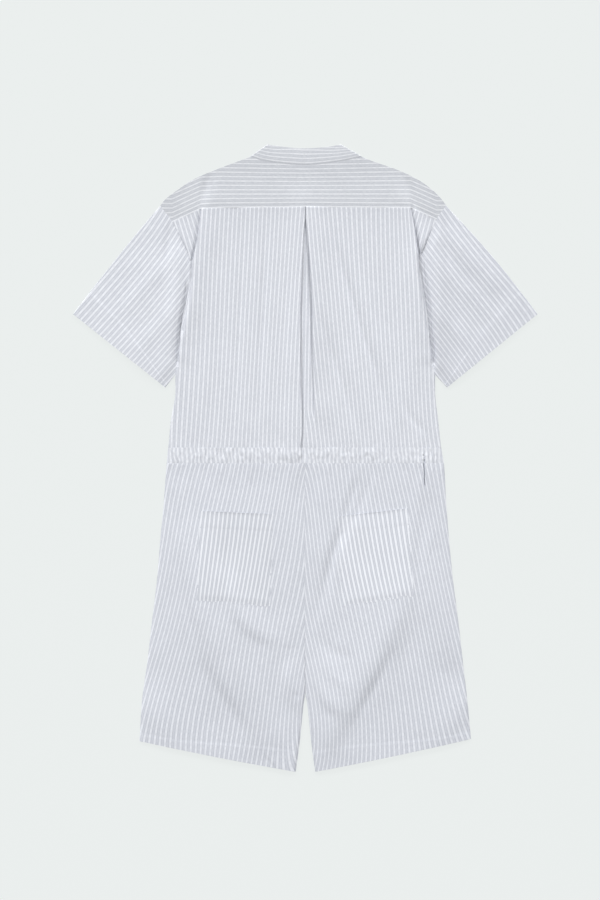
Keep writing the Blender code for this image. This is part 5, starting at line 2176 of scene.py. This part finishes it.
@dataclass
class Stitching:
    """Rows of lockstitch laid on the outer face of the cloth."""

    tailor: Tailor
    pitch: float = 0.003
    length: float = 0.0021
    width: float = 0.00045
    sink: float = 0.00006
    above_yoke_seam: float = 0.0025
    yoke_end: float = 0.003
    in_casing: float = 0.0022
    casing_end: float = 0.004
    in_hem: float = 0.002
    in_pocket: float = 0.0036

    def build(self) -> None:
        """Make every seam's stitches, one piece for each group of seams."""
        graph = bpy.context.evaluated_depsgraph_get()
        trees = [BVHTree.FromObject(shell, graph) for shell in self.tailor.shells]
        groups = {
            "yoke_stitching": [self._yoke()],
            "waist_stitching": self._waist(),
            "hem_stitching": [self._hem(side) for side in Side],
            "cuff_stitching": [self._cuff(side) for side in Side],
            "pocket_stitching": [row for pocket in pockets(self.tailor) for row in self._pocket(pocket)],
        }
        for name, paths in groups.items():
            self._row(name, paths, trees)

    def _yoke(self) -> Array:
        """Plan points of the row above the yoke seam."""
        x = np.linspace(YOKE_SEAM[0].x + self.yoke_end, YOKE_SEAM[-1].x - self.yoke_end, 60)
        return np.stack([x, seam_height(x) + self.above_yoke_seam], axis=1)

    def _waist(self) -> list[Array]:
        """Plan points of the rows along both edges of the casing.

        Returns:
            One array for each row.
        """
        rows = []
        for y in (WAIST_TOP - self.in_casing, WAIST_BOTTOM + self.in_casing):
            left, right = (float(column(BODY_SIDE, side.word).at(y)) for side in Side)
            x = np.linspace(left + self.casing_end, right - self.casing_end, 40)
            rows.append(np.stack([x, np.full(len(x), y)], axis=1))
        return rows

    def _hem(self, side: Side) -> Array:
        """Plan points of the row along the hem of a leg.

        Args:
            side: Which leg.

        Returns:
            Array of plan points.
        """
        leg = Leg(self.tailor, side)
        x, y = leg.plan(np.ones(1), even(30)[1:-1], 0.0)
        return np.stack([x, y + leg.hem_depth(x) - self.in_hem], axis=1)

    def _cuff(self, side: Side) -> Array:
        """Plan points of the row along the cuff of a sleeve.

        Args:
            side: Which sleeve.

        Returns:
            Array of plan points.
        """
        share = even(20)[1:-1]
        cuff = along(edge_points(CUFF, side), share)
        back = along(edge_points(ARMHOLE, side), share) - cuff
        back = back / np.linalg.norm(back, axis=1)[:, None]
        return cuff + back * (Sleeve(self.tailor, side).hem - self.in_hem)

    def _pocket(self, pocket: Pocket) -> list[Array]:
        """Plan points of the rows round a pocket and along the hem of its mouth.

        Args:
            pocket: Which pocket.

        Returns:
            One array for each row.
        """
        spots = (pocket.top_left, pocket.bottom_left, pocket.bottom_right, pocket.top_right)
        corners = [np.array(spot) for spot in spots]
        middle = sum(corners) / 4
        inner = [moved(corner, middle, self.in_pocket) for corner in corners]
        drop = pocket.mouth - self.in_hem
        mouth = [moved(inner[0], inner[1], drop), moved(inner[3], inner[2], drop)]
        return [np.array(pair) for pair in zip(inner, inner[1:])] + [np.array(mouth)]

    def _row(self, name: str, paths: list[Array], trees: list[BVHTree]) -> None:
        """Make the stitches of one group.

        Args:
            name: Name of the piece.
            paths: Plan points of its seams.
            trees: Surfaces to lay the stitches on.
        """
        seams = bmesh.new()
        for path in paths:
            steps = np.linalg.norm(np.diff(path, axis=0), axis=1)
            count = max(int(steps.sum() / self.pitch), 2)
            shares = (np.arange(count) + 0.5) / count
            lengths = np.concatenate([[0.0], np.cumsum(steps)]) / steps.sum()
            spots = np.stack([np.interp(shares, lengths, path[:, axis]) for axis in range(2)], axis=1)
            for i, spot in enumerate(spots):
                found = self._surface(spot, trees)
                if found is None:
                    continue
                place, normal = found
                ahead = spots[min(i + 1, count - 1)] - spots[max(i - 1, 0)]
                along_x = Vector((*ahead, 0.0))
                along_x = (along_x - normal * along_x.dot(normal)).normalized()
                turn = Matrix((along_x, normal.cross(along_x), normal)).transposed().to_4x4()
                size = Matrix.Diagonal((self.length / 2, self.width / 2, self.width / 2, 1.0))
                where = Matrix.Translation(place - normal * self.sink)
                bmesh.ops.create_uvsphere(
                    seams, u_segments=6, v_segments=4, radius=1.0, matrix=where @ turn @ size
                )
        bmesh.ops.recalc_face_normals(seams, faces=seams.faces)
        mesh = bpy.data.meshes.new(name)
        seams.to_mesh(mesh)
        seams.free()
        mesh.shade_smooth()
        mesh.materials.append(self.tailor.thread)
        piece = bpy.data.objects.new(name, mesh)
        bpy.context.scene.collection.objects.link(piece)
        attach(piece, BODY)
        LOG.info("%s: %d faces", name, len(mesh.polygons))

    @staticmethod
    def _surface(spot: Array, trees: list[BVHTree]) -> tuple[Vector, Vector] | None:
        """Find the top of the cloth at a plan point.

        Args:
            spot: The plan point.
            trees: Surfaces of the cloth.

        Returns:
            The highest point and the normal there, or nothing beside the cloth.
        """
        best = None
        for tree in trees:
            place, normal, _, _ = tree.ray_cast(Vector((*spot, 0.1)), Vector((0, 0, -1)))
            if place is not None and (best is None or place.z > best[0].z):
                best = (place, normal if normal.z > 0 else -normal)
        return best


# --- studio ---


@dataclass(frozen=True)
class Lamp:
    """Round studio light that looks at the garment."""

    name: str
    azimuth: float
    elevation: float
    distance: float
    size: float
    energy: float

    def hang(self) -> None:
        """Put the light in the scene."""
        lamp = bpy.data.lights.new(self.name, "AREA")
        lamp.shape = "DISK"
        lamp.size = self.size
        lamp.energy = self.energy
        turn, lift = math.radians(self.azimuth), math.radians(self.elevation)
        level = math.cos(lift)
        aim = Vector((level * math.cos(turn), level * math.sin(turn), math.sin(lift)))
        light = bpy.data.objects.new(self.name, lamp)
        light.location = aim * self.distance
        light.rotation_euler = aim.to_track_quat("Z", "Y").to_euler()
        bpy.context.scene.collection.objects.link(light)


STUDIO_LAMPS = (
    Lamp("window_left", 124.0, 25.0, 28.0, 7.8, 7100.0),
    Lamp("window_right", 60.0, 25.0, 28.0, 7.8, 5150.0),
)


@dataclass
class Studio:
    """Pale floor, soft light and the camera straight above."""

    camera_x: float = -0.00825
    camera_y: float = 0.01345
    camera_height: float = 3.7125
    lens: float = 90.0
    sensor: float = 36.0
    floor_half: float = 12.0
    sky: float = 0.45
    lamps: tuple[Lamp, ...] = ()

    def build(self) -> None:
        """Make the floor, the lights and the camera."""
        grid = bmesh.new()
        bmesh.ops.create_grid(grid, x_segments=2, y_segments=2, size=self.floor_half)
        mesh = bpy.data.meshes.new("studio_floor")
        grid.to_mesh(mesh)
        grid.free()
        mesh.materials.append(StudioFloor().material())
        floor = bpy.data.objects.new("studio_floor", mesh)
        bpy.context.scene.collection.objects.link(floor)
        world = bpy.data.worlds.new("studio")
        world.use_nodes = True
        background = world.node_tree.nodes["Background"]
        background.inputs["Color"].default_value = (1.0, 1.0, 1.0, 1.0)
        background.inputs["Strength"].default_value = self.sky
        bpy.context.scene.world = world
        for lamp in self.lamps:
            lamp.hang()
        self._camera()
        bpy.context.scene.view_settings.view_transform = "Standard"

    def _camera(self) -> None:
        """Camera whose frame is the photograph's."""
        lens = bpy.data.cameras.new("camera")
        lens.lens = self.lens
        lens.sensor_width = self.sensor
        lens.sensor_fit = "AUTO"
        camera = bpy.data.objects.new("camera", lens)
        camera.location = (self.camera_x, self.camera_y, self.camera_height)
        bpy.context.scene.collection.objects.link(camera)
        bpy.context.scene.camera = camera


def main() -> None:
    """Dress the frame as the sewn garment."""
    logging.basicConfig(level=logging.INFO, format="%(name)s: %(message)s")
    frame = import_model()
    LOG.info("frame: %d nodes", len(frame["nodes"]))
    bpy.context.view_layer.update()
    studio = Studio(lamps=STUDIO_LAMPS)
    studio.build()
    tailor = Tailor()
    for side in Side:
        Leg(tailor, side).build()
        Sleeve(tailor, side).build()
    Bodice(tailor).build()
    Placket(tailor).build()
    Waist(tailor).build()
    Yoke(tailor).build()
    Collar(tailor).build()
    for pocket in pockets(tailor):
        pocket.build()
    Stitching(tailor).build()


if __name__ == "__main__":
    main()
